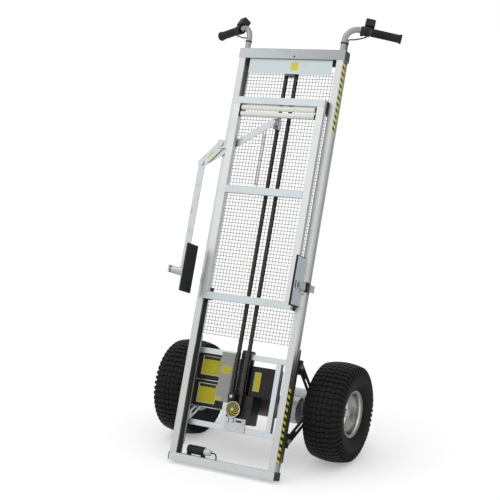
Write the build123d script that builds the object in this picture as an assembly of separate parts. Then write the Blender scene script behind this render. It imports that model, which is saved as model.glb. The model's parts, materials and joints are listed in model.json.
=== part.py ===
"""Lifting hand truck: a leaning mast on two tyres, a chain-driven carriage and a side clamp.

Everything is drawn in the mast's own frame, in millimetres: X to the right, Y to the back,
Z up along the mast, with the origin at the foot bar's front bottom edge, mid-width. At the
end the whole truck is leaned back until it stands on its tyres and its foot bar.
"""
import os
from math import asin, atan2, cos, degrees, hypot, pi, radians, sin, sqrt, tan

from build123d import *

# Clearances
RUN_GAP = 0.05        # shaft in its bore, on the radius
SLIDE_GAP = 0.6       # glide in its rail, bodies that pass each other
SIDE_GAP = 0.5        # between flat links that swing past each other
RAIL_GAP = 1.0        # between the rear rails and the boxes beside them
CUT_OVER = 1.0        # how far a cutting shape reaches past a face
BEND_SHARE = 0.45     # share of a straight run that a cable bend may take
ROUND_SHARE = 0.3     # share of a wall that a rounded edge may take

# Stance
LEAN = 20.8           # degrees that the mast leans back
AXLE_BACK = 247.0     # axle behind the mast's front face
TYRE_R = 181.0
TYRE_W = 144.0
TRACK = 622.0         # between the middles of the tyres

# Mast
MAST_H = 1550.0
MAST_W = 426.0        # over the uprights
UPRIGHT_W = 26.0
UPRIGHT_D = 44.0
FLANGE_T = 4.0
WEB_T = 3.0
WEB_INSET = 5.0       # web's outer face inside the flanges' outer edges
BAR_L = 434.0         # foot bar and crossbar, over their ends
BAR_WALL = 2.5
CAP_T = 3.0
CAP_PLUG = 12.0
FOOT_H = 28.0
FOOT_D = 44.0
CROSS_H = 38.0
CROSS_D = 44.0
CROSS_HOLE_R = 3.3
CROSS_HOLE_DROP = 29.0
CROSS_HOLE_X = 15.0    # to the right of the middle
PANEL_W = 340.0
PANEL_H = 56.0
PANEL_T = 1.5
PANEL_Y = 8.0
MESH_BOTTOM = 470.0
MESH_DROP = 102.0     # guard's top below the mast's top
MESH_T = 3.0
MESH_BAR = 4.0        # width of a wire of the guard
MESH_EDGE = 8.0
MESH_COLUMNS = 10
MESH_ROWS = 27
STOP_R = 9.0
STOP_H = 20.0
STOP_X = 172.0
STOP_Y = 22.0

# Handles, drawn on the right and mirrored
TUBE_R = 11.0
TUBE_WALL = 2.0
HANDLE_X = 196.0
HANDLE_Y = 19.0
HANDLE_RISE = 92.0    # from the mast's top to the corner of the tube's centre line
HANDLE_BEND = 48.0
HANDLE_TURN = 27.8    # degrees that the grip points back
HANDLE_DROP = 3.1     # degrees that the grip falls
GRIP_R = 15.5
GRIP_L = 114.0
GRIP_RIM_R = 18.0
GRIP_RIM_L = 7.0
GRIP_AT = 89.5        # start of the grip, along the grip from the corner
GRIP_END_T = 4.0
LEVER_AT = 52.5
LEVER_L = 10.5
LEVER_RING_R = 16.0
PADDLE_REACH = 25.0
PADDLE_W = 9.0
BOX_AT = 64.0
BOX_L = 36.0
BOX_W = 34.0
BOX_FOOT = 17.0       # underside of the box above the tube's centre line
BOX_TOP = 54.0
BOX_ROUND = 5.0
BOX_TILT = 31.0       # degrees that the box leans back from upright
CLAMP_RING_R = 18.0
CLAMP_RING_L = 24.0
ROCKER_L = 20.0
ROCKER_W = 11.0
ROCKER_H = 8.0
ROCKER_PROUD = 2.0
ROCKER_GAP = 1.2
ROCKER_PIN_R = 2.0
ROCKER_PIN_L = 2.0
CABLE_R = 2.5
CABLE_DROP = 10.0     # straight run under the control box
CABLE_HIGH = 0.28     # shares of the way to the shoulder
CABLE_LOW = 0.7
TIE_T = 1.6
TIE_H = 5.0
TIE_RISE = 27.0

# Lift chain and its drive
PITCH = 12.7
TEETH = 10
UPPER_DROP = 38.0     # upper sprocket's middle below the crossbar, at least
CHAIN_Y = 34.0
DRIVE_Z = 216.0
ROLLER_R = 4.2
PIN_R = 2.2
PLATE_R = 5.4
PLATE_T = 1.5
INNER_HALF = 3.9      # half the width between the inner plates
PLATE_GAP = 0.2
PIN_PROUD = 1.2
TIP_RISE = 2.8        # tooth tips above the pitch circle
TOOTH_T = 7.0
OPEN_LINKS = 2        # links beside each sprocket that are drawn without rollers
HUB_R = 12.0
HUB_L = 6.0
SHAFT_R = 7.0
SHAFT_BACK = 90.0
DISC_R = 28.5
DISC_T = 2.5
DISC_Y = 20.0
DISC_STUD_R = 3.0
DISC_NUT_R = 6.0
DISC_NUT_T = 3.5
UPPER_AXLE_R = 6.0
CHEEK_W = 40.0
CHEEK_T = 3.0
CHEEK_GAP = 1.0
GEARBOX_X0 = -34.0
GEARBOX_X1 = 62.0
GEARBOX_Y1 = 105.0
GEARBOX_Z0 = 168.0
GEARBOX_Z1 = 272.0
GEARBOX_ROUND = 6.0
MOTOR_R = 25.0
MOTOR_Y = 74.0
MOTOR_TOP = 432.0
KNOB_X = -8.0
KNOB_Z = 260.6
KNOB_R = 15.0
KNOB_Y = 8.0
KNOB_T = 15.0
KNOB_SHAFT_R = 4.0
KNOB_CAP_R = 6.0
KNOB_CAP_T = 3.0
KNOB_DEPTH = 12.0     # shaft inside the gearbox
TENSION_T = 4.0
TENSION_X0 = -34.0
TENSION_X1 = 50.0
TENSION_Z0 = 138.0
TENSION_Z1 = 187.0
TENSION_BOLTS = (-24.0, -6.0)
TENSION_BOLT_Z = 176.0
TENSION_BOLT_L = 20.0
TENSION_SLOT_X = 22.0
TENSION_SLOT_L = 18.0
TENSION_SLOT_W = 7.0

# Rear frame and what it carries
RAIL_S = 20.0         # side of the square tube
RAIL_WALL = 2.0
LOW_RAIL_Z = 136.0
TOP_RAIL_Z = 400.0
POST_X = 131.0
BATTERY_W = 98.0
BATTERY_D = 148.0
BATTERY_H = 95.0
BATTERY_Z = 207.0
BATTERY_X = -190.5    # outer side
TRAY_T = 3.0
TRAY_LIP = 12.0
BOXES_FORE = 3.5      # lid of the electronics box in front of the rails
ELECTRONICS_X0 = -90.0
ELECTRONICS_X1 = -35.0
ELECTRONICS_Z0 = 236.0
ELECTRONICS_Z1 = 414.0
ELECTRONICS_BACK = 104.0
ELECTRONICS_TAB = 20.0 # lid's overlap on the case
ELECTRONICS_ROUND = 3.0
CONTROLLER_W = 96.0
CONTROLLER_Y0 = 50.0
CONTROLLER_Y1 = 114.0
CONTROLLER_Z0 = 272.0
CONTROLLER_Z1 = 380.0
CONTROLLER_ROUND = 5.0

# Axle and struts
HOUSING_R = 17.0
HOUSING_END = 226.0
SHAFT2_R = 10.0
SHAFT2_END = 26.0     # half shaft beyond the wheel's middle
SHAFT2_GAP = 2.0      # between the half shafts inside the case
CASE_X0 = 118.0
CASE_X1 = 190.0
CASE_R = 62.0
CASE_LOBE_R = 48.0
DRIVE_R = 42.0
DRIVE_L = 130.0
DRIVE_FORE = 62.0     # drive motor in front of the axle
DRIVE_DROP = 20.0
AXLE_NUT_R = 15.0
AXLE_NUT_T = 12.0
STRUT_T = 5.0
STRUT_W = 32.0
STRUT_EYE_R = 30.0
STRUT_SLOT_W = 11.0
STRUT_SLOT_L = 100.0
STRUT_SPREAD = 35.0   # degrees above and below the level line through the axle
BRACKET_T = 4.0
BRACKET_DEPTH = 34.0
BRACKET_BOLT = 17.0   # bolt behind the upright
BRACKET_HALF = 26.0
ANGLE_D = 12.0        # black angle behind each upright
ANGLE_Z0 = 62.0
ANGLE_Z1 = 462.0
BOLT_R = 5.0
BOLT_HEAD_R = 8.5
BOLT_HEAD_T = 6.0
BOLT_HOLE_GAP = 0.1

# Wheels
RIM_FLANGE_R = 86.0
RIM_SEAT_R = 76.0
RIM_T = 3.0
RIM_HALF = 57.0
RIM_DISC_AT = -8.0    # disc of the rim, inside the wheel's middle
HUB_OUT = 20.0
HUB_WHEEL_R = 24.0
HUB_IN_GAP = 3.0      # hub to the axle housing
TYRE_T = 9.0
TYRE_SHOULDER = 10.0   # tread's edge inside the tyre's width
CROWN_DROP = 9.0      # tread's edge below its middle
TREAD_ROWS = 54       # grooves round the tread
TREAD_COLUMNS = 7     # a groove changes its slant at each column
TREAD_SWING = 4.6
TREAD_GROOVE = 5.0
TREAD_DEPTH = 6.0
TREAD_RUN = 26.0      # how far a groove runs down over the shoulder
BEAD_GAP = 0.15
BEAD_OVER = 0.5       # sidewall's start above the rim's flange

# Carriage
CARRIAGE_W = 369.0
CARRIAGE_DROP = 197.0 # carriage's top below the mast's top, as it stands
CARRIAGE_H = 760.0
CARRIAGE_Y0 = -32.0
CARRIAGE_D = 20.0
POST_W = 28.0
BAR_H = 26.0
CARRIAGE_WALL = 2.5
MID_BAR_DROP = 363.0  # from the carriage's top
ROUND_TUBE_R = 9.5
ROUND_TUBE_DROPS = (39.0, 63.0)
ROUND_TUBE_RING = 2.0
ROUND_TUBE_RING_L = 6.0
GLIDE_H = 46.0
GLIDE_NECK = 14.5     # glide's reach inwards from the upright

# Clamp, in the plane of the mast's face: x, and z from the carriage's top
PIVOT_A_AT = (-20.5, -85.0)
PIVOT_B_AT = (-287.0, -258.0)
PIVOT_C_AT = (-217.0, -181.0)
LINK_T = 4.0
LINK_W = 24.0
BAR_BACK = -2.5       # back of the slanting bar
ARM_T = 4.5
ARM_W = 34.0
HANG_W = 26.0
PIVOT_R = 5.0
PIVOT_HEAD_R = 9.0
PIVOT_HEAD_T = 4.5
LINK_PLAY = 0.5       # radial play at the pivot that closes the linkage
TONGUE_OUT = 15.0     # bracket beyond the arm's pivot
TONGUE_HALF = 16.0
TONGUE_ROUND = 4.0
CHAIN_BLOCK_H = 40.0
CHAIN_BLOCK_EDGE = 8.0
CHAIN_BLOCK_FACE = 7.0
CHAIN_EAR_T = 3.0
JAW_GAP = 216.5       # pad face from the middle
PAD_T = 6.5
PAD_D = 74.0
PAD_H = 176.0
GRIP_PLATE_T = 4.6
GRIP_PLATE_D = 68.0
GRIP_PLATE_H = 168.0
GRIP_Y = -84.0
GRIP_RISE = 96.0      # jaws' middle above the carriage's bottom
JAW_PIN_Y = -96.0
JAW_PIN_RISE = 84.0
JAW_PIN_R = 6.0
JAW_PIN_HEAD_R = 9.0
JAW_PIN_HEAD_T = 5.0
JAW_BAR_T = 6.0
JAW_BAR_H = 26.0
JAW_BAR_FRONT = -112.0
JAW_BAR_BACK = 34.0
STRAP_T = 5.5
STRAP_H = 44.0
STRAP_IN = 158.0
GUIDE_FRONT = -36.0
GUIDE_BACK = -13.0
GUIDE_SIDE = 4.0
SPACER_R = 11.0
SPRING_R = 6.2
SPRING_WIRE = 1.0
SPRING_TURNS = 36
SPRING_TAIL = 14.0
SPRING_LEAD_R = 3.5
SPRING_Y = 6.0
SPRING_ALONG = 40.0   # hook on the slanting bar, from the chain block's pivot
HOOK_R = 3.0
HOOK_L = 13.0
LUG_HALF = 8.0
LUG_T = 3.0

# Switch on the foot bar
SWITCH_X0 = -155.0
SWITCH_L = 70.0
SWITCH_R = 16.0
SWITCH_CAP_L = 26.0
SWITCH_CAP_R = 13.0
SWITCH_Y = 30.0
SWITCH_FOOT_W = 12.0
SWITCH_LIFT = 5.0
SWITCH_CABLE_OUT = 13.0
SWITCH_CABLE_SIDE = 9.0

# Places that follow from the sizes above
AXLE_UP = (TYRE_R + (AXLE_BACK - FOOT_D) * sin(radians(LEAN))) / cos(radians(LEAN))
AXLE = (AXLE_BACK, AXLE_UP)
INNER = MAST_W / 2 - UPRIGHT_W
RAIL_Y = UPRIGHT_D
GLIDE_BACK = UPRIGHT_D - FLANGE_T - SLIDE_GAP
BOXES_FRONT = RAIL_Y - BOXES_FORE
WEB_FACE = MAST_W / 2 - WEB_INSET - WEB_T
CROSS_Z = MAST_H - CROSS_H
MESH_TOP = MAST_H - MESH_DROP
PITCH_R = PITCH / (2 * sin(pi / TEETH))
SPAN_LINKS = int((CROSS_Z - UPPER_DROP - DRIVE_Z) // PITCH)
UPPER_Z = DRIVE_Z + SPAN_LINKS * PITCH
CHAIN_HALF = INNER_HALF + PLATE_GAP + 2 * PLATE_T + PIN_PROUD
CARRIAGE_TOP = MAST_H - CARRIAGE_DROP
CARRIAGE_BOTTOM = CARRIAGE_TOP - CARRIAGE_H
MID_BAR_Z = CARRIAGE_TOP - MID_BAR_DROP
PIVOT_A = (PIVOT_A_AT[0], CARRIAGE_TOP + PIVOT_A_AT[1])
PIVOT_B = (PIVOT_B_AT[0], CARRIAGE_TOP + PIVOT_B_AT[1])
PIVOT_C = (PIVOT_C_AT[0], CARRIAGE_TOP + PIVOT_C_AT[1])
GRIP_Z = CARRIAGE_BOTTOM + GRIP_RISE
JAW_PIN_Z = CARRIAGE_BOTTOM + JAW_PIN_RISE
CARRIAGE_BACK = CARRIAGE_Y0 + CARRIAGE_D
BAR_FRONT = BAR_BACK - LINK_T
ARM_BACK = BAR_FRONT - SIDE_GAP
ARM_FRONT = ARM_BACK - ARM_T
TONGUE_BACK = ARM_FRONT - SIDE_GAP
TONGUE_FRONT = TONGUE_BACK - LINK_T
PLATE_X = JAW_GAP + PAD_T
JAW_BAR_X = PLATE_X + GRIP_PLATE_T + SIDE_GAP
CORNER = Vector(HANDLE_X, HANDLE_Y, MAST_H + HANDLE_RISE)
ALONG = Vector(
    cos(radians(HANDLE_TURN)) * cos(radians(HANDLE_DROP)),
    sin(radians(HANDLE_TURN)) * cos(radians(HANDLE_DROP)),
    -sin(radians(HANDLE_DROP)),
)
LEANING = Vector(0, sin(radians(BOX_TILT)), cos(radians(BOX_TILT)))
UPWARD = (LEANING - ALONG * LEANING.dot(ALONG)).normalized()

parts = {}


def add(node, *items):
    """Keep the solids of a node."""
    parts[node] = [solid for item in items for solid in item.solids()]


def block(x0, x1, y0, y1, z0, z1):
    """Box between limits."""
    return Pos((x0 + x1) / 2, (y0 + y1) / 2, (z0 + z1) / 2) * Box(x1 - x0, y1 - y0, z1 - z0)


def rod(start, end, radius):
    """Cylinder between two points."""
    start, end = Vector(start), Vector(end)
    axis = end - start
    return Part() + Solid.make_cylinder(radius, axis.length, Plane(origin=start, z_dir=axis))


def flat_y(outline, y0, y1):
    """Plate from an outline drawn in (x, z)."""
    return extrude(Plane(origin=(0, y1, 0), x_dir=(1, 0, 0), z_dir=(0, -1, 0)) * outline, y1 - y0)


def flat_x(outline, x0, x1):
    """Plate from an outline drawn in (y, z)."""
    return extrude(Plane(origin=(x0, 0, 0), x_dir=(0, 1, 0), z_dir=(1, 0, 0)) * outline, x1 - x0)


def strip(a, b, width):
    """Outline of a bar with round ends from a to b."""
    angle = degrees(atan2(b[1] - a[1], b[0] - a[0]))
    bar = SlotCenterToCenter(hypot(b[0] - a[0], b[1] - a[1]), width)
    return Pos((a[0] + b[0]) / 2, (a[1] + b[1]) / 2) * Rot(0, 0, angle) * bar


def hexagon(start, direction, radius, height):
    """Hexagon head with its seat at start."""
    plane = Plane(origin=start, z_dir=direction)
    return extrude(plane * RegularPolygon(radius, 6), height)


def other_side(part):
    """The same part on the left."""
    return mirror(part, about=Plane.YZ)


def route(points, radius):
    """Round cable through points, with the largest arcs that its runs leave room for."""
    points = [Vector(p) for p in points]
    bends = []
    for before, here, after in zip(points, points[1:], points[2:]):
        one, two = here - before, after - here
        half = radians(one.get_angle(two)) / 2
        bends.append(BEND_SHARE * min(one.length, two.length) / tan(half))
    path = FilletPolyline(*points, radius=bends)
    cable = sweep(Plane(origin=path @ 0, z_dir=path % 0) * Circle(radius), path=path)
    print("cable", round(path.length, 1), "mm, bends", [round(b, 1) for b in bends],
          "volume ratio", round(cable.volume / (pi * radius**2 * path.length), 4))
    return cable


def biarc(p0, t0, p1, t1):
    """Two tangent arcs from p0 to p1."""
    v, t = p1 - p0, t0 + t1
    a = 2 * (1 - t0.dot(t1))
    b = 2 * v.dot(t)
    d = (-b + sqrt(b * b + 4 * a * v.dot(v))) / (2 * a)
    q0, q1 = p0 + t0 * d, p1 - t1 * d
    joint = (q0 + q1) * 0.5
    first = TangentArc(p0, joint, tangent=t0)
    second = TangentArc(joint, p1, tangent=q1 - q0)
    return [first, second]


def upright(side):
    """One H-section upright, with the deeper channel on the inside."""
    middle = side * (MAST_W - UPRIGHT_W) / 2
    x0, x1 = middle - UPRIGHT_W / 2, middle + UPRIGHT_W / 2
    front = block(x0, x1, 0, FLANGE_T, FOOT_H, CROSS_Z)
    back = block(x0, x1, UPRIGHT_D - FLANGE_T, UPRIGHT_D, FOOT_H, CROSS_Z)
    inside, outside = sorted((side * WEB_FACE, side * (WEB_FACE + WEB_T)))
    web = block(inside, outside, FLANGE_T, UPRIGHT_D - FLANGE_T, FOOT_H, CROSS_Z)
    return front + web + back


def make_mast():
    """Uprights, bars, panel, guard and stops."""
    add("upright_left", upright(-1))
    add("upright_right", upright(1))
    half = BAR_L / 2
    bar = block(-half + CAP_T, half - CAP_T, 0, FOOT_D, 0, FOOT_H)
    bore = block(-half, half, BAR_WALL, FOOT_D - BAR_WALL, BAR_WALL, FOOT_H - BAR_WALL)
    add("foot_bar", bar - bore)
    inset = BAR_WALL + RUN_GAP
    cap = block(half - CAP_T, half, 0, FOOT_D, 0, FOOT_H)
    cap += block(half - CAP_T - CAP_PLUG, half - CAP_T, inset, FOOT_D - inset, inset, FOOT_H - inset)
    add("bar_end_caps", cap, other_side(cap))
    cross = block(-half, half, 0, CROSS_D, CROSS_Z, MAST_H)
    cross -= block(-half + CAP_T, half - CAP_T, BAR_WALL, CROSS_D - BAR_WALL,
                   CROSS_Z + BAR_WALL, MAST_H - BAR_WALL)
    for side in (-1, 1):
        x = side * HANDLE_X
        top = (x, HANDLE_Y, MAST_H + CUT_OVER)
        cross -= rod((x, HANDLE_Y, CROSS_Z + CROSS_H / 2), top, TUBE_R + RUN_GAP)
    hole_z = MAST_H - CROSS_HOLE_DROP
    cross -= rod((CROSS_HOLE_X, -CUT_OVER, hole_z), (CROSS_HOLE_X, CROSS_D / 2, hole_z), CROSS_HOLE_R)
    add("top_crossbar", cross)
    half = PANEL_W / 2
    add("top_panel", block(-half, half, PANEL_Y, PANEL_Y + PANEL_T, CROSS_Z - PANEL_H, CROSS_Z))
    half_w = INNER + UPRIGHT_W / 2
    gap_w = (2 * half_w - 2 * MESH_EDGE + MESH_BAR) / MESH_COLUMNS - MESH_BAR
    gap_h = (MESH_TOP - MESH_BOTTOM - 2 * MESH_EDGE + MESH_BAR) / MESH_ROWS - MESH_BAR
    plane = Plane(origin=(0, UPRIGHT_D + MESH_T, 0), x_dir=(1, 0, 0), z_dir=(0, -1, 0))
    outer = rectangle_wire(plane, -half_w, MESH_BOTTOM, half_w, MESH_TOP)
    gaps = []
    for column in range(MESH_COLUMNS):
        x = -half_w + MESH_EDGE + column * (gap_w + MESH_BAR)
        for row in range(MESH_ROWS):
            z = MESH_BOTTOM + MESH_EDGE + row * (gap_h + MESH_BAR)
            gaps.append(rectangle_wire(plane, x, z, x + gap_w, z + gap_h))
    add("guard_mesh", extrude(Face(outer, gaps), MESH_T, dir=(0, -1, 0)))
    stop = rod((STOP_X, STOP_Y, CROSS_Z - STOP_H), (STOP_X, STOP_Y, CROSS_Z), STOP_R)
    add("travel_stops", stop, other_side(stop))


def rectangle_wire(plane, x0, z0, x1, z1):
    """Closed outline on a plane."""
    corners = [(x0, z0), (x1, z0), (x1, z1), (x0, z1)]
    return Wire.make_polygon([plane.from_local_coords((x, z, 0)) for x, z in corners], close=True)


def on_grip(along, up=0.0):
    """Point beside the right grip's centre line."""
    return CORNER + ALONG * along + UPWARD * up


def grip_plane(along):
    """Plane across the right grip; its x axis points up."""
    return Plane(origin=on_grip(along), x_dir=UPWARD, z_dir=ALONG)


def grip_box(x0, x1, y0, y1, z0, z1):
    """Box in the right grip's frame: x up, y across, z along the grip."""
    return grip_plane(0) * block(x0, x1, y0, y1, z0, z1)


def make_handles():
    """Tubes, grips, control boxes, cables and ties."""
    end = GRIP_AT + GRIP_L
    foot = Vector(HANDLE_X, HANDLE_Y, CROSS_Z + BAR_WALL)
    path = FilletPolyline(foot, CORNER, on_grip(end - GRIP_END_T), radius=HANDLE_BEND)
    ring = Circle(TUBE_R) - Circle(TUBE_R - TUBE_WALL)
    tube = sweep(Plane(origin=path @ 0, z_dir=path % 0) * ring, path=path)
    add("handle_tubes", tube, other_side(tube))
    grip = rod(on_grip(GRIP_AT), on_grip(end), GRIP_R)
    grip += rod(on_grip(end - GRIP_RIM_L), on_grip(end), GRIP_RIM_R)
    grip -= rod(on_grip(GRIP_AT - CUT_OVER), on_grip(end - GRIP_END_T), TUBE_R + RUN_GAP)
    add("handle_grips", grip, other_side(grip))
    tall = BOX_TOP - BOX_FOOT
    case = Pos((BOX_FOOT + BOX_TOP) / 2, 0, BOX_AT + BOX_L / 2) * Box(tall, BOX_W, BOX_L)
    case = fillet(case.edges(), min(BOX_ROUND, ROUND_SHARE * min(tall, BOX_W, BOX_L)))
    case = grip_plane(0) * case
    case += rod(on_grip(BOX_AT), on_grip(BOX_AT + CLAMP_RING_L), CLAMP_RING_R)
    case -= rod(on_grip(BOX_AT - CUT_OVER), on_grip(BOX_AT + CLAMP_RING_L + CUT_OVER), TUBE_R + RUN_GAP)
    add("control_box_right", case)
    middle = BOX_AT + BOX_L / 2
    deep = BOX_TOP - ROCKER_H - ROCKER_GAP
    side = ROCKER_W / 2 + SIDE_GAP
    half = ROCKER_L / 2 + ROCKER_GAP
    pocketed = case - grip_box(deep, BOX_TOP + CUT_OVER, -side, side, middle - half, middle + half)
    pin_at = BOX_TOP + ROCKER_PROUD - ROCKER_H / 2
    reach = side + ROCKER_PIN_L
    plane = grip_plane(0)
    pin = [plane.from_local_coords((pin_at, end, middle)) for end in (-reach, reach)]
    pocketed -= rod(*pin, ROCKER_PIN_R + RUN_GAP)
    add("control_box_left", other_side(pocketed))
    top = BOX_TOP + ROCKER_PROUD
    rocker = grip_box(top - ROCKER_H, top, -ROCKER_W / 2, ROCKER_W / 2,
                      middle - ROCKER_L / 2, middle + ROCKER_L / 2)
    short = reach - SIDE_GAP
    stub = [plane.from_local_coords((pin_at, end, middle)) for end in (-short, short)]
    rocker += rod(*stub, ROCKER_PIN_R)
    add("lift_rocker", other_side(rocker))
    lever = rod(on_grip(LEVER_AT), on_grip(LEVER_AT + LEVER_L), LEVER_RING_R)
    lever += grip_box(-PADDLE_REACH, -TUBE_R, -PADDLE_W / 2, PADDLE_W / 2, LEVER_AT, LEVER_AT + LEVER_L)
    lever -= rod(on_grip(LEVER_AT - CUT_OVER), on_grip(LEVER_AT + LEVER_L + CUT_OVER), TUBE_R + RUN_GAP)
    add("throttle_lever", lever)
    make_cables()


def make_cables():
    """Cables of both control boxes and of the switch on the foot bar."""
    beside = TUBE_R + CABLE_R + SIDE_GAP
    turn = radians(HANDLE_TURN)
    line = Vector(HANDLE_X + beside * cos(turn), HANDLE_Y + beside * sin(turn), 0)
    leave = on_grip(BOX_AT + CLAMP_RING_L / 2, -CLAMP_RING_R)
    tie_z = MAST_H + TIE_RISE
    bend = tie_z + 2 * TIE_H
    drop = leave - UPWARD * CABLE_DROP
    shoulder = Vector(line.X + CABLE_R, line.Y + CABLE_R, bend + CABLE_DROP)
    sag = Vector(0, 0, CABLE_R)
    high, low = [drop * (1 - t) + shoulder * t - sag for t in (CABLE_HIGH, CABLE_LOW)]
    points = [leave, drop, high, low, shoulder]
    points += [Vector(line.X, line.Y, bend), Vector(line.X, line.Y, MAST_H)]
    cable = route(points, CABLE_R)
    cap_end = SWITCH_X0 + SWITCH_L + SWITCH_CAP_L
    z = FOOT_H + SWITCH_LIFT + SWITCH_R
    turn = cap_end + SWITCH_CABLE_OUT
    fall = turn + SWITCH_CABLE_SIDE
    points = [(cap_end, SWITCH_Y, z), (turn, SWITCH_Y, z), (fall, SWITCH_Y, z - SWITCH_CABLE_SIDE),
              (fall, SWITCH_Y, FOOT_H)]
    add("control_cables", cable, other_side(cable), route(points, CABLE_R))
    foot = (HANDLE_X, HANDLE_Y, tie_z)
    head = (HANDLE_X, HANDLE_Y, tie_z + TIE_H)
    cable_foot = (line.X, line.Y, tie_z)
    cable_head = (line.X, line.Y, tie_z + TIE_H)
    tie = rod(foot, head, TUBE_R + TIE_T) + rod(cable_foot, cable_head, CABLE_R + TIE_T)
    tie -= rod(foot, head, TUBE_R + RUN_GAP)
    tie -= rod(cable_foot, cable_head, CABLE_R + RUN_GAP)
    add("cable_ties", tie, other_side(tie))


def sprocket(z):
    """Toothed ring in the chain's plane."""
    seats = PolarLocations(PITCH_R, TEETH) * Circle(ROLLER_R + PLATE_GAP)
    wheel = flat_y(Circle(PITCH_R + TIP_RISE) - seats, -TOOTH_T / 2, TOOTH_T / 2)
    return Pos(0, CHAIN_Y, z) * wheel


def chain_links():
    """Shapes of a closed and an open link of both kinds, from the first pin along +X."""
    outline = Pos(PITCH / 2, 0) * SlotCenterToCenter(PITCH, 2 * PLATE_R)
    bores = Circle(PIN_R + RUN_GAP) + Pos(PITCH, 0) * Circle(PIN_R + RUN_GAP)
    a0, a1 = INNER_HALF, INNER_HALF + PLATE_T
    b0, b1 = a1 + PLATE_GAP, a1 + PLATE_GAP + PLATE_T
    inner = [flat_y(outline - bores, a0, a1), flat_y(outline - bores, -a1, -a0)]
    rollers = Circle(ROLLER_R) + Pos(PITCH, 0) * Circle(ROLLER_R)
    closed_inner = inner[0] + inner[1] + flat_y(rollers - bores, -a0, a0)
    pins = Circle(PIN_R) + Pos(PITCH, 0) * Circle(PIN_R)
    outer = flat_y(outline, b0, b1) + flat_y(outline, -b1, -b0)
    closed_outer = outer + flat_y(pins, -CHAIN_HALF, CHAIN_HALF)
    open_outer = [flat_y(outline, b0, b1) + flat_y(pins, a0, CHAIN_HALF)]
    open_outer.append(flat_y(outline, -b1, -b0) + flat_y(pins, -CHAIN_HALF, -a0))
    return closed_inner, closed_outer, inner, open_outer


def make_chain():
    """Endless chain on both sprockets, as it stands."""
    pins = [(PITCH_R, DRIVE_Z + i * PITCH) for i in range(SPAN_LINKS)]
    turn = 2 * pi / TEETH
    half = TEETH // 2
    pins += [(PITCH_R * cos(i * turn), UPPER_Z + PITCH_R * sin(i * turn)) for i in range(half)]
    pins += [(-PITCH_R, UPPER_Z - i * PITCH) for i in range(SPAN_LINKS)]
    pins += [(-PITCH_R * cos(i * turn), DRIVE_Z - PITCH_R * sin(i * turn)) for i in range(half)]
    closed_inner, closed_outer, open_inner, open_outer = chain_links()
    low, high = DRIVE_Z + OPEN_LINKS * PITCH, UPPER_Z - OPEN_LINKS * PITCH
    links = []
    for i, (a, b) in enumerate(zip(pins, pins[1:] + pins[:1])):
        place = Pos(a[0], CHAIN_Y, a[1]) * Rot(0, -degrees(atan2(b[1] - a[1], b[0] - a[0])), 0)
        free = min(a[1], b[1]) > low - PITCH / 2 and max(a[1], b[1]) < high + PITCH / 2
        if i % 2 == 0:
            shapes = [closed_inner] if free else open_inner
        else:
            shapes = [closed_outer] if free else open_outer
        links += [place * shape for shape in shapes]
    add("lift_chain", *links)


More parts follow.
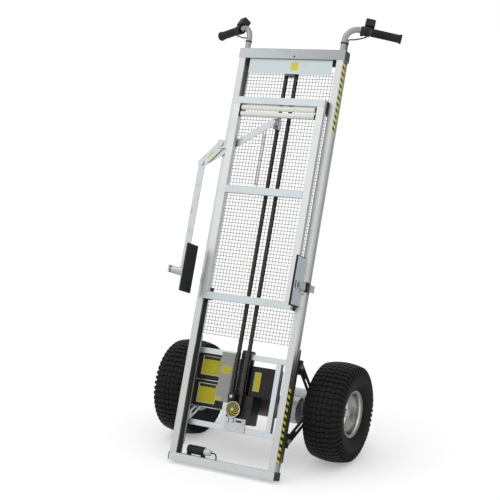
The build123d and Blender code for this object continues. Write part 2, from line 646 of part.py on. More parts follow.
def make_lift():
    """Sprockets, gearbox, motor, knob, disc and tension bracket."""
    make_chain()
    face = RAIL_Y
    behind = CHAIN_Y + TOOTH_T / 2
    drive = sprocket(DRIVE_Z) + rod((0, behind, DRIVE_Z), (0, behind + HUB_L, DRIVE_Z), HUB_R)
    drive -= rod((0, 0, DRIVE_Z), (0, face, DRIVE_Z), SHAFT_R + RUN_GAP)
    add("drive_sprocket", drive)
    disc_back = DISC_Y + DISC_T
    shaft = rod((0, disc_back, DRIVE_Z), (0, SHAFT_BACK, DRIVE_Z), SHAFT_R)
    shaft += rod((0, DISC_Y - DISC_NUT_T, DRIVE_Z), (0, disc_back, DRIVE_Z), DISC_STUD_R)
    shaft += hexagon((0, DISC_Y, DRIVE_Z), (0, -1, 0), DISC_NUT_R, DISC_NUT_T)
    add("lift_shaft", shaft)
    disc = rod((0, DISC_Y, DRIVE_Z), (0, disc_back, DRIVE_Z), DISC_R)
    disc -= rod((0, 0, DRIVE_Z), (0, face, DRIVE_Z), DISC_STUD_R + RUN_GAP)
    add("spiral_disc", disc)
    upper = sprocket(UPPER_Z) - rod((0, 0, UPPER_Z), (0, UPRIGHT_D, UPPER_Z), UPPER_AXLE_R + RUN_GAP)
    add("upper_sprocket", upper)
    inside = CHAIN_HALF + CHEEK_GAP
    outside = inside + CHEEK_T
    half = CHEEK_W / 2
    bracket = block(-half, half, CHAIN_Y - outside, CHAIN_Y + outside, CROSS_Z - CHEEK_T, CROSS_Z)
    low = UPPER_Z - half
    for y0 in (CHAIN_Y - outside, CHAIN_Y + inside):
        bracket += block(-half, half, y0, y0 + CHEEK_T, low, CROSS_Z)
    y0, y1 = CHAIN_Y - outside - CHEEK_T, CHAIN_Y + outside + CHEEK_T
    bracket -= rod((0, y0, UPPER_Z), (0, y1, UPPER_Z), UPPER_AXLE_R + RUN_GAP)
    axle = rod((0, y0, UPPER_Z), (0, y1, UPPER_Z), UPPER_AXLE_R)
    add("upper_bracket", bracket, axle)
    gearbox = block(GEARBOX_X0, GEARBOX_X1, face, GEARBOX_Y1, GEARBOX_Z0, GEARBOX_Z1)
    gearbox = fillet(gearbox.edges().filter_by(Axis.Y), GEARBOX_ROUND)
    gearbox -= rod((0, 0, DRIVE_Z), (0, SHAFT_BACK + SIDE_GAP, DRIVE_Z), SHAFT_R + RUN_GAP)
    knob_end = face + KNOB_DEPTH
    gearbox -= rod((KNOB_X, 0, KNOB_Z), (KNOB_X, knob_end + SIDE_GAP, KNOB_Z), KNOB_SHAFT_R + RUN_GAP)
    plate = block(TENSION_X0, TENSION_X1, face - TENSION_T, face, TENSION_Z0, TENSION_Z1)
    slot = Pos(TENSION_SLOT_X, TENSION_BOLT_Z) * SlotCenterToCenter(TENSION_SLOT_L, TENSION_SLOT_W)
    plate -= flat_y(slot, face - TENSION_T - CUT_OVER, face + CUT_OVER)
    bolts = []
    for x in TENSION_BOLTS:
        seat = face - TENSION_T
        far = seat + TENSION_BOLT_L
        hole = rod((x, 0, TENSION_BOLT_Z), (x, far, TENSION_BOLT_Z), BOLT_R + BOLT_HOLE_GAP)
        plate -= hole
        gearbox -= hole
        bolt = rod((x, seat, TENSION_BOLT_Z), (x, far, TENSION_BOLT_Z), BOLT_R)
        bolts.append(bolt + hexagon((x, seat, TENSION_BOLT_Z), (0, -1, 0), BOLT_HEAD_R, BOLT_HEAD_T))
    add("lift_gearbox", gearbox)
    add("tension_bracket", plate)
    motor = rod((0, MOTOR_Y, GEARBOX_Z1), (0, MOTOR_Y, MOTOR_TOP), MOTOR_R)
    add("lift_motor", motor)
    knob = rod((KNOB_X, KNOB_Y, KNOB_Z), (KNOB_X, KNOB_Y + KNOB_T, KNOB_Z), KNOB_R)
    knob += rod((KNOB_X, KNOB_Y, KNOB_Z), (KNOB_X, knob_end, KNOB_Z), KNOB_SHAFT_R)
    knob += rod((KNOB_X, KNOB_Y - KNOB_CAP_T, KNOB_Z), (KNOB_X, KNOB_Y, KNOB_Z), KNOB_CAP_R)
    add("release_knob", knob)
    return bolts


def frame_rail(x0, x1, z0):
    """Level square tube of the rear frame."""
    y0, y1, w = RAIL_Y, RAIL_Y + RAIL_S, RAIL_WALL
    z1 = z0 + RAIL_S
    bore = block(x0 - CUT_OVER, x1 + CUT_OVER, y0 + w, y1 - w, z0 + w, z1 - w)
    return block(x0, x1, y0, y1, z0, z1) - bore


def frame_post(x0, high):
    """Upright square tube that stands on the low rail."""
    x1, low = x0 + RAIL_S, LOW_RAIL_Z + RAIL_S
    y0, y1, w = RAIL_Y, RAIL_Y + RAIL_S, RAIL_WALL
    bore = block(x0 + w, x1 - w, y0 + w, y1 - w, low - CUT_OVER, high + CUT_OVER)
    return block(x0, x1, y0, y1, low, high) - bore


def make_rear():
    """Rear rails and posts, batteries in their tray, electronics box and controller."""
    stop = MOTOR_R + SIDE_GAP
    rails = [frame_rail(-INNER, INNER, LOW_RAIL_Z)]
    rails.append(frame_rail(-INNER, -stop, TOP_RAIL_Z))
    rails.append(frame_rail(stop, INNER, TOP_RAIL_Z))
    rails.append(frame_post(POST_X, TOP_RAIL_Z))
    rails.append(frame_post(ELECTRONICS_X1 - RAIL_S, ELECTRONICS_Z0))
    add("rear_frame", *rails)
    x0, x1 = BATTERY_X, BATTERY_X + BATTERY_W
    y0 = RAIL_Y + RAIL_S + RAIL_GAP
    y1 = y0 + BATTERY_D
    step = BATTERY_H + TRAY_T
    floors = [BATTERY_Z, BATTERY_Z + step]
    add("batteries", *[block(x0, x1, y0, y1, z, z + BATTERY_H) for z in floors])
    top = BATTERY_Z + len(floors) * step
    tray = block(x0 - TRAY_T, x0, UPRIGHT_D + BRACKET_T, y1 + TRAY_T, BATTERY_Z - TRAY_T, top)
    for z in floors:
        tray += block(x0, x1, y0, y1, z - TRAY_T, z)
    tray += block(x0, x1, y1, y1 + TRAY_T, BATTERY_Z - TRAY_T, BATTERY_Z + TRAY_LIP)
    add("battery_tray", tray)
    x0, x1, top = ELECTRONICS_X0, ELECTRONICS_X1, TOP_RAIL_Z - RAIL_GAP
    case = block(x0, x1, BOXES_FRONT, ELECTRONICS_BACK, ELECTRONICS_Z0, top)
    case = fillet(case.edges().filter_by(Axis.Z), ELECTRONICS_ROUND)
    case += block(x0, x1, BOXES_FRONT, RAIL_Y, top - ELECTRONICS_TAB, ELECTRONICS_Z1)
    add("electronics_box", case)
    x0 = POST_X - CONTROLLER_W
    control = block(x0, POST_X, CONTROLLER_Y0, CONTROLLER_Y1, CONTROLLER_Z0, CONTROLLER_Z1)
    control = fillet(control.edges().filter_by(Axis.Y), CONTROLLER_ROUND)
    add("motor_controller", control)


def strut_bolt(up):
    """Place (y, z) of a strut's front bolt."""
    y = UPRIGHT_D + BRACKET_BOLT
    return y, AXLE_UP + up * (AXLE_BACK - y) * tan(radians(STRUT_SPREAD))


def strut(up, x0):
    """One slotted strut from the axle to its bracket."""
    bolt = strut_bolt(up)
    middle = ((AXLE[0] + bolt[0]) / 2, (AXLE[1] + bolt[1]) / 2)
    angle = degrees(atan2(bolt[1] - AXLE[1], bolt[0] - AXLE[0]))
    outline = strip(AXLE, bolt, STRUT_W) + Pos(*AXLE) * Circle(STRUT_EYE_R)
    outline -= Pos(*AXLE) * Circle(HOUSING_R + RUN_GAP)
    outline -= Pos(*bolt) * Circle(BOLT_R + BOLT_HOLE_GAP)
    outline -= Pos(*middle) * Rot(0, 0, angle) * SlotCenterToCenter(STRUT_SLOT_L, STRUT_SLOT_W)
    return flat_x(outline, x0, x0 + STRUT_T)


def make_axle(bolts):
    """Axle housing, drive motor, struts with their brackets and bolts."""
    motor_y, motor_z = AXLE_BACK - DRIVE_FORE, AXLE_UP - DRIVE_DROP
    housing = rod((-HOUSING_END, *AXLE), (HOUSING_END, *AXLE), HOUSING_R)
    housing += rod((CASE_X0, *AXLE), (CASE_X1, *AXLE), CASE_R)
    housing += rod((CASE_X0, motor_y, motor_z), (CASE_X1, motor_y, motor_z), CASE_LOBE_R)
    past = HOUSING_END + CUT_OVER
    housing -= rod((-past, *AXLE), (past, *AXLE), SHAFT2_R + RUN_GAP)
    add("axle_housing", housing)
    add("drive_motor", rod((CASE_X0 - DRIVE_L, motor_y, motor_z), (CASE_X0, motor_y, motor_z), DRIVE_R))
    plane = MAST_W / 2
    inside = plane - BRACKET_T
    angle = block(INNER, plane, UPRIGHT_D, UPRIGHT_D + BRACKET_T, ANGLE_Z0, ANGLE_Z1)
    angle += block(inside, plane, UPRIGHT_D, UPRIGHT_D + ANGLE_D, ANGLE_Z0, ANGLE_Z1)
    struts, own_bolts = [], []
    for up, x0 in ((-1, plane), (1, plane + STRUT_T)):
        struts.append(strut(up, x0))
        y, z = strut_bolt(up)
        deep = UPRIGHT_D + BRACKET_DEPTH
        angle += block(inside, x0, UPRIGHT_D, deep, z - BRACKET_HALF, z + BRACKET_HALF)
        angle -= rod((inside - CUT_OVER, y, z), (x0 + CUT_OVER, y, z), BOLT_R + BOLT_HOLE_GAP)
        bolt = rod((inside - BOLT_HEAD_T, y, z), (x0 + STRUT_T, y, z), BOLT_R)
        bolt += hexagon((x0 + STRUT_T, y, z), (1, 0, 0), BOLT_HEAD_R, BOLT_HEAD_T)
        bolt += hexagon((inside, y, z), (-1, 0, 0), BOLT_HEAD_R, BOLT_HEAD_T)
        own_bolts.append(bolt)
    add("struts_right", *struts)
    add("struts_left", *[other_side(s) for s in struts])
    add("strut_brackets", angle, other_side(angle))
    add("frame_bolts", *bolts, *own_bolts, *[other_side(b) for b in own_bolts])


def spun(outline, cuts=()):
    """Body of revolution about the right wheel's axle, from an outline in (x, radius), less the cuts."""
    body = revolve(Plane.XY * outline, axis=Axis.X)
    if cuts:
        body = body - list(cuts)
    return Pos(TRACK / 2, *AXLE) * body


def tyre_line(half, crown, shoulder, bead_half, bead):
    """Half profile of a tyre's skin, from bead to bead."""
    side = (bead + shoulder) / 2
    start = RIM_FLANGE_R + BEAD_OVER
    left = Line((-bead_half, bead), (-bead_half, start))
    right = Line((bead_half, start), (bead_half, bead))
    wall = ThreePointArc(left @ 1, (-half, side), (-half + TYRE_SHOULDER, shoulder))
    tread = ThreePointArc(wall @ 1, (0, crown), (half - TYRE_SHOULDER, shoulder))
    wall2 = ThreePointArc(tread @ 1, (half, side), right @ 0)
    return [left, wall, tread, wall2, right]


def tread_grooves():
    """Zigzag grooves across a tread about the X axis; the truck stands on a block between two of them."""
    half = TYRE_W / 2
    edge, shoulder = half - TYRE_SHOULDER, TYRE_R - CROWN_DROP
    wide, high, low = half + TYRE_SHOULDER, TYRE_R + TREAD_DEPTH, shoulder - TREAD_RUN
    floor_z = shoulder - TREAD_DEPTH
    floor = ThreePointArc((-edge, floor_z), (0, TYRE_R - TREAD_DEPTH), (edge, floor_z))
    path = [(edge, floor_z), (half, low), (wide, low), (wide, high)]
    path += [(-x, z) for x, z in reversed(path)]
    sides = [Line(a, b) for a, b in zip(path, path[1:])]
    ring = revolve(Plane.XY * make_face([floor] + sides), axis=Axis.X)
    column = 2 * edge / TREAD_COLUMNS
    turns = [(k * column, TREAD_SWING * (k % 2)) for k in range(TREAD_COLUMNS // 2 + 1)]
    turns.append((wide + CUT_OVER, turns[-1][1]))
    line = [(-x, y) for x, y in reversed(turns[1:])] + turns
    reach = TREAD_GROOVE / 2
    outline = [(x, y - reach) for x, y in line] + [(x, y + reach) for x, y in reversed(line)]
    start = low - TREAD_DEPTH
    bar = extrude(Plane.XY.offset(start) * make_face(Polyline(*outline, close=True)), high - start)
    step = 360 / TREAD_ROWS
    return [(Rot(X=LEAN + (row + 0.5) * step) * bar) & ring for row in range(TREAD_ROWS)]


def make_wheels():
    """Tyres, rims and half shafts."""
    seat = RIM_SEAT_R + BEAD_GAP
    bead = RIM_HALF - RIM_T - BEAD_GAP
    skin = tyre_line(TYRE_W / 2, TYRE_R, TYRE_R - CROWN_DROP, bead, seat)
    crown = TYRE_R - TYRE_T
    lining = tyre_line(TYRE_W / 2 - TYRE_T, crown, crown - CROWN_DROP, bead - TYRE_T, seat)
    closing = [Line(skin[-1] @ 1, lining[-1] @ 1), Line(lining[0] @ 0, skin[0] @ 0)]
    tyre = spun(make_face(skin + lining + closing), tread_grooves())
    add("tyre_right", tyre)
    add("tyre_left", other_side(tyre))
    r0 = RIM_SEAT_R - RIM_T
    disc0 = RIM_DISC_AT
    disc1 = disc0 + RIM_T
    bore = SHAFT2_R + RUN_GAP
    hub_in = HOUSING_END + HUB_IN_GAP - TRACK / 2
    flange = RIM_HALF - RIM_T
    barrel = Polygon(
        (-RIM_HALF, RIM_FLANGE_R), (-flange, RIM_FLANGE_R), (-flange, RIM_SEAT_R), (flange, RIM_SEAT_R),
        (flange, RIM_FLANGE_R), (RIM_HALF, RIM_FLANGE_R), (RIM_HALF, r0), (-RIM_HALF, r0), align=None)
    dish = Polygon(
        (disc1, r0), (disc1, HUB_WHEEL_R), (HUB_OUT, HUB_WHEEL_R), (HUB_OUT, bore),
        (hub_in, bore), (hub_in, HUB_WHEEL_R), (disc0, HUB_WHEEL_R), (disc0, r0), align=None)
    rim = Compound([*spun(barrel).solids(), *spun(dish).solids()])
    add("rim_right", rim)
    add("rim_left", other_side(rim))
    end = TRACK / 2 + SHAFT2_END
    nut = hexagon((TRACK / 2 + HUB_OUT, *AXLE), (1, 0, 0), AXLE_NUT_R, AXLE_NUT_T)
    inner_end = (CASE_X0 + CASE_X1) / 2
    apart = SHAFT2_GAP / 2
    add("half_shaft_right", rod((inner_end + apart, *AXLE), (end, *AXLE), SHAFT2_R) + nut)
    add("half_shaft_left", rod((inner_end - apart, *AXLE), (-end, *AXLE), SHAFT2_R) + other_side(nut))


def make_carriage():
    """Frame of the carriage, its round tubes and glides, and the fixed pieces of the clamp."""
    half = CARRIAGE_W / 2
    y0, y1, w = CARRIAGE_Y0, CARRIAGE_BACK, CARRIAGE_WALL
    low, high = CARRIAGE_BOTTOM + BAR_H, CARRIAGE_TOP - BAR_H
    post = block(half - POST_W, half, y0, y1, low, high)
    post -= block(half - POST_W + w, half - w, y0 + w, y1 - w, low - CUT_OVER, high + CUT_OVER)
    add("carriage_posts", post, other_side(post))
    bars = []
    for z0, reach in ((high, half), (MID_BAR_Z, half - POST_W), (CARRIAGE_BOTTOM, half)):
        bar = block(-reach, reach, y0, y1, z0, z0 + BAR_H)
        bars.append(bar - block(-reach + w, reach - w, y0 + w, y1 + CUT_OVER, z0 + w, z0 + BAR_H - w))
    hook = spring_hook()
    top = MID_BAR_Z + BAR_H
    x0, x1 = hook[0] - LUG_HALF, hook[0] + LUG_HALF
    bars[1] += block(x0, x1, y0 + w, SPRING_Y + LUG_HALF, top - LUG_T, top)
    add("carriage_bars", *bars)
    inner = half - POST_W
    middle = (y0 + y1) / 2
    tubes = []
    for drop in ROUND_TUBE_DROPS:
        z = CARRIAGE_TOP - drop
        tube = rod((-inner, middle, z), (inner, middle, z), ROUND_TUBE_R)
        ring = rod((inner - ROUND_TUBE_RING_L, middle, z), (inner, middle, z), ROUND_TUBE_R + ROUND_TUBE_RING)
        tube += ring + other_side(ring)
        tubes.append(tube - rod((-inner, middle, z), (inner, middle, z), ROUND_TUBE_R - w))
    add("carriage_tubes", *tubes)
    glides = []
    neck = min(INNER - GLIDE_NECK, half - POST_W / 2)
    side = INNER - SLIDE_GAP
    for z in (CARRIAGE_TOP - GLIDE_H, CARRIAGE_BOTTOM):
        glide = block(neck, side, y1, GLIDE_BACK, z, z + GLIDE_H)
        glide += block(side, WEB_FACE - SLIDE_GAP, FLANGE_T + SLIDE_GAP, GLIDE_BACK, z, z + GLIDE_H)
        glides += [glide, other_side(glide)]
    add("carriage_glides", *glides)


def spring_hook():
    """Place (x, z) of the spring's hook on the slanting bar."""
    dx, dz = PIVOT_B[0] - PIVOT_A[0], PIVOT_B[1] - PIVOT_A[1]
    share = SPRING_ALONG / hypot(dx, dz)
    return PIVOT_A[0] + dx * share, PIVOT_A[1] + dz * share


def pivot(place, back, front, seat):
    """Pivot pin along Y with a round head in front of its seat."""
    x, z = place
    pin = rod((x, front, z), (x, back, z), PIVOT_R)
    return pin + rod((x, seat - PIVOT_HEAD_T, z), (x, seat, z), PIVOT_HEAD_R)


def make_spring():
    """Open tension spring between the middle bar's lug and the slanting bar's hook."""
    x, z_hook = spring_hook()
    bottom = MID_BAR_Z + BAR_H
    top = z_hook - HOOK_R - SIDE_GAP
    z0, z1 = bottom + SPRING_TAIL, top - SPRING_TAIL
    pitch = (z1 - z0) / SPRING_TURNS
    flat = 2 * pi * SPRING_R

    def at(turns):
        angle = 2 * pi * turns
        return Vector(x + SPRING_R * cos(angle), SPRING_Y + SPRING_R * sin(angle), z0 + pitch * turns)

    def heading(turns):
        angle = 2 * pi * turns
        return Vector(-flat * sin(angle), flat * cos(angle), pitch).normalized()

    lead = SPRING_LEAD_R
    first, last = at(0), at(SPRING_TURNS)
    foot = Vector(first.X, first.Y - lead, first.Z - lead)
    crest = Vector(last.X, last.Y + lead, last.Z + lead)
    up = Vector(0, 0, 1)
    edges = [Line(Vector(foot.X, foot.Y, bottom), foot)] + biarc(foot, up, first, heading(0))
    for i in range(2 * SPRING_TURNS):
        edges += biarc(at(i / 2), heading(i / 2), at((i + 1) / 2), heading((i + 1) / 2))
    edges += biarc(last, heading(SPRING_TURNS), crest, up) + [Line(crest, Vector(crest.X, crest.Y, top))]
    path = Wire([e.edge() for e in edges])
    spring = sweep(Plane(origin=(foot.X, foot.Y, bottom), z_dir=up) * Circle(SPRING_WIRE), path=path)
    gap = pitch * cos(asin(pitch / hypot(pitch, flat))) - 2 * SPRING_WIRE
    ratio = spring.volume / (pi * SPRING_WIRE**2 * path.length)
    print("spring", SPRING_TURNS, "turns, least gap", round(gap, 2), "volume ratio", round(ratio, 4))
    add("clamp_spring", spring)


def make_clamp():
    """Chain block, slanting bar, arm, jaws and their fixed pieces."""
    x, z = PIVOT_C
    outer = x - TONGUE_OUT
    tongue = block(outer, -CARRIAGE_W / 2, TONGUE_FRONT, TONGUE_BACK, z - TONGUE_HALF, z + TONGUE_HALF)
    corners = tongue.edges().filter_by(Axis.Y).group_by(Axis.X)[0]
    tongue = fillet(corners, TONGUE_ROUND) + pivot(PIVOT_C, ARM_BACK, TONGUE_FRONT, TONGUE_FRONT)
    add("arm_bracket", tongue)
    hook = spring_hook()
    bar = flat_y(strip(PIVOT_A, PIVOT_B, LINK_W), BAR_FRONT, BAR_BACK)
    for place, play in ((PIVOT_A, RUN_GAP), (PIVOT_B, LINK_PLAY)):
        bar -= rod((place[0], ARM_FRONT, place[1]), (place[0], CUT_OVER, place[1]), PIVOT_R + play)
    bar += rod((hook[0], BAR_FRONT, hook[1]), (hook[0], BAR_BACK + HOOK_L, hook[1]), HOOK_R)
    add("clamp_bar", bar)
    hang = PIVOT_B[0]
    low = JAW_PIN_Z - JAW_BAR_H / 2
    outline = strip(PIVOT_C, PIVOT_B, ARM_W) + strip(PIVOT_B, (hang, low + HANG_W / 2), HANG_W)
    arm = flat_y(outline, ARM_FRONT, ARM_BACK)
    arm -= rod((x, ARM_FRONT - CUT_OVER, z), (x, ARM_BACK + CUT_OVER, z), PIVOT_R + RUN_GAP)
    side = hang + JAW_BAR_T / 2
    arm += block(side - JAW_BAR_T, side, JAW_BAR_FRONT, ARM_BACK, low, low + JAW_BAR_H)
    arm += rod((side, JAW_PIN_Y, JAW_PIN_Z), (-JAW_BAR_X, JAW_PIN_Y, JAW_PIN_Z), SPACER_R)
    arm += rod((side, JAW_PIN_Y, JAW_PIN_Z), (-PLATE_X - SIDE_GAP, JAW_PIN_Y, JAW_PIN_Z), JAW_PIN_R)
    arm += pivot(PIVOT_B, BAR_BACK + PIVOT_HEAD_T, ARM_FRONT, ARM_FRONT)
    behind = BAR_BACK + SIDE_GAP
    arm += rod((hang, behind, PIVOT_B[1]), (hang, behind + PIVOT_HEAD_T, PIVOT_B[1]), PIVOT_HEAD_R)
    add("clamp_arm", arm)
    strap_front = CARRIAGE_BACK
    z = JAW_PIN_Z
    tall, bar_end = STRAP_H / 2, JAW_BAR_X + JAW_BAR_T
    strap = block(STRAP_IN, JAW_BAR_X, strap_front, strap_front + STRAP_T, z - tall, z + tall)
    tall = JAW_BAR_H / 2
    strap += block(JAW_BAR_X, bar_end, JAW_BAR_FRONT, JAW_BAR_BACK, z - tall, z + tall)
    head = bar_end + JAW_PIN_HEAD_T
    strap += rod((PLATE_X + SIDE_GAP, JAW_PIN_Y, z), (head, JAW_PIN_Y, z), JAW_PIN_R)
    strap += rod((bar_end, JAW_PIN_Y, z), (head, JAW_PIN_Y, z), JAW_PIN_HEAD_R)
    add("jaw_bracket_right", strap)
    side = tall + GUIDE_SIDE
    guide = block(JAW_BAR_X - GUIDE_SIDE, bar_end + GUIDE_SIDE, GUIDE_FRONT, GUIDE_BACK, z - side, z + side)
    guide -= block(JAW_BAR_X, bar_end, GUIDE_FRONT - CUT_OVER, GUIDE_BACK + CUT_OVER, z - tall, z + tall)
    add("guide_block", guide)
    deep, tall = GRIP_PLATE_D / 2, GRIP_PLATE_H / 2
    plate = block(PLATE_X, PLATE_X + GRIP_PLATE_T, GRIP_Y - deep, GRIP_Y + deep, GRIP_Z - tall, GRIP_Z + tall)
    plate -= rod((0, JAW_PIN_Y, z), (head, JAW_PIN_Y, z), JAW_PIN_R + RUN_GAP)
    deep, tall = PAD_D / 2, PAD_H / 2
    pad = block(JAW_GAP, PLATE_X, GRIP_Y - deep, GRIP_Y + deep, GRIP_Z - tall, GRIP_Z + tall)
    add("grip_plate_right", plate)
    add("grip_plate_left", other_side(plate))
    add("grip_pad_right", pad)
    add("grip_pad_left", other_side(pad))
    make_chain_block()


def make_chain_block():
    """Block on the chain's left run that carries the slanting bar's upper pivot."""
    x, z = PIVOT_A
    z0, z1 = z - CHAIN_BLOCK_H / 2, z + CHAIN_BLOCK_H / 2
    side = PLATE_R + SIDE_GAP
    edge = side + CHAIN_EAR_T
    front = CHAIN_Y - CHAIN_HALF - SIDE_GAP
    piece = block(-PITCH_R - edge, -PITCH_R + edge, front - CHAIN_BLOCK_FACE, front, z0, z1)
    for x0 in (-PITCH_R - edge, -PITCH_R + side):
        piece += block(x0, x0 + CHAIN_EAR_T, front, CHAIN_Y + CHAIN_HALF, z0, z1)
    neck = BAR_BACK + SIDE_GAP
    wide = CHAIN_BLOCK_EDGE
    piece += block(x - wide, x + wide, neck, front, z - wide, z + wide)
    piece += pivot(PIVOT_A, neck, BAR_FRONT - SIDE_GAP, BAR_FRONT - SIDE_GAP)
    add("chain_block", piece)


def make_switch():
    """Round switch lying on the foot bar."""
    z = FOOT_H + SWITCH_LIFT + SWITCH_R
    x1 = SWITCH_X0 + SWITCH_L
    body = rod((SWITCH_X0, SWITCH_Y, z), (x1, SWITCH_Y, z), SWITCH_R)
    for x in (SWITCH_X0, x1 - SWITCH_FOOT_W):
        body += block(x, x + SWITCH_FOOT_W, SWITCH_Y - SWITCH_R / 2, SWITCH_Y + SWITCH_R / 2, FOOT_H, z)
    cap = rod((x1, SWITCH_Y, z), (x1 + SWITCH_CAP_L, SWITCH_Y, z), SWITCH_CAP_R)
    add("limit_switch", body, cap)


def stand():
    """Move from the mast's frame to the standing truck, origin at bottom centre."""
    lean = Rot(-LEAN, 0, 0)
    box = Compound([lean * solid for solids in parts.values() for solid in solids]).bounding_box()
    middle = (box.min + box.max) * 0.5
    return Pos(-middle.X, -middle.Y, -box.min.Z) * lean


def export(place):
    """Write one STEP file for each node."""
    os.makedirs("parts", exist_ok=True)
    for node, solids in parts.items():
        shape = Compound([place * solid for solid in solids])
        shape.label = node
        export_step(shape, f"parts/{node}.step")
    print(len(parts), "nodes")


make_mast()
make_handles()
lift_bolts = make_lift()
make_rear()
make_axle(lift_bolts)
make_wheels()
make_carriage()
make_clamp()
make_spring()
make_switch()
STAND = stand()
export(STAND)
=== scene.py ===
# %% [markdown]
# # A lifting hand truck
# The truck leans back on two turf tyres. A carriage climbs its mast on a roller chain and grips
# things between two rubber jaws. Sizes, joints and bodies come packed from the CAD model. This
# script dresses them: finer meshes where a plain solid looks coarse, and a finish for every surface.

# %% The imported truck
import json
import math

import bmesh
import bpy
from mathutils import Matrix, Vector

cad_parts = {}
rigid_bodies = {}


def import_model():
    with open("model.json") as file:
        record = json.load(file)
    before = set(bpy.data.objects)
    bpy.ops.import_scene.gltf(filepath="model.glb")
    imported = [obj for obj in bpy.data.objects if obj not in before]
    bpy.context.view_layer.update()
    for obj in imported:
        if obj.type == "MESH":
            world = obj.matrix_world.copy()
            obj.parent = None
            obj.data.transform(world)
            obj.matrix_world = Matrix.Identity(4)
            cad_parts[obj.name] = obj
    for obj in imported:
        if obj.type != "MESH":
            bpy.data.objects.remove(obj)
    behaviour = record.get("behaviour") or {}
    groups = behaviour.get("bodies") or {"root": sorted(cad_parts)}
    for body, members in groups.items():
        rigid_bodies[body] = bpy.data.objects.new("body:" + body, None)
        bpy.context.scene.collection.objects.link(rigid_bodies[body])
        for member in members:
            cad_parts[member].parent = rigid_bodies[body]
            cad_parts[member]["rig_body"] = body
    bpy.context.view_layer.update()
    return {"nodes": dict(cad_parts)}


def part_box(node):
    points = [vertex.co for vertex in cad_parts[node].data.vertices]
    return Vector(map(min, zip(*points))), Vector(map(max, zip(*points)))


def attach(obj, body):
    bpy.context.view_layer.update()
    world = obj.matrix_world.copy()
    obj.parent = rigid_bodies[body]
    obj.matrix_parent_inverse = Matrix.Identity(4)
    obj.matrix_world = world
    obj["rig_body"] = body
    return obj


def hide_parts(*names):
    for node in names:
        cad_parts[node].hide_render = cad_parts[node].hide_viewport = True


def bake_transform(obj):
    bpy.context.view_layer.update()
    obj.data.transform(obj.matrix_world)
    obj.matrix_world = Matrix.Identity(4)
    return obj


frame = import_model()

# %% [markdown]
# Nothing on the truck is level, because the mast leans back by 20.8 degrees. One could tilt every
# new mesh by hand, but it is simpler to draw in the mast's own frame, in millimetres: x to the
# right, y to the back and z up along the uprights. The right wheel's middle is known in both
# frames, so it gives the shift between them.

# %% The mast's frame
LEAN = math.radians(20.8)
WHEEL_MIDDLE = Vector((311.0, 247.0, 270.73))
TILT = Matrix.Rotation(-LEAN, 3, "X")
wheel_low, wheel_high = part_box("tyre_right")
SHIFT = (wheel_low + wheel_high) / 2 - TILT @ WHEEL_MIDDLE / 1000


def mast(x, y, z):
    """A point of the mast's frame as a point of the standing truck, in metres."""
    return TILT @ Vector((x, y, z)) / 1000 + SHIFT


print("mast's foot stands at", [round(v, 3) for v in mast(0, 0, 0)])

# %% [markdown]
# A finish is a small graph of shader nodes. Wiring it by hand takes many lines, so two helpers
# do it. A Wire is one output of a node, and Python's own operators work on it: each adds a Math
# node. A Finish owns a material, and its one method adds any other node from the node's type, its
# settings and its sockets.

# %% Wires and finishes
class Wire:
    """An output of a shader node that arithmetic works on."""

    def __init__(self, finish, socket):
        self.finish = finish
        self.socket = socket

    def math(self, operation, first, second=0.0):
        return self.finish.node("ShaderNodeMath", {"operation": operation}, {0: first, 1: second})

    def __add__(self, other):
        return self.math("ADD", self, other)

    def __radd__(self, other):
        return self.math("ADD", other, self)

    def __sub__(self, other):
        return self.math("SUBTRACT", self, other)

    def __rsub__(self, other):
        return self.math("SUBTRACT", other, self)

    def __mul__(self, other):
        return self.math("MULTIPLY", self, other)

    def __rmul__(self, other):
        return self.math("MULTIPLY", other, self)

    def __truediv__(self, other):
        return self.math("DIVIDE", self, other)

    def __pow__(self, other):
        return self.math("POWER", self, other)

    def __mod__(self, other):
        return self.math("FLOORED_MODULO", self, other)

    def __gt__(self, other):
        return self.math("GREATER_THAN", self, other)

    def __lt__(self, other):
        return self.math("LESS_THAN", self, other)


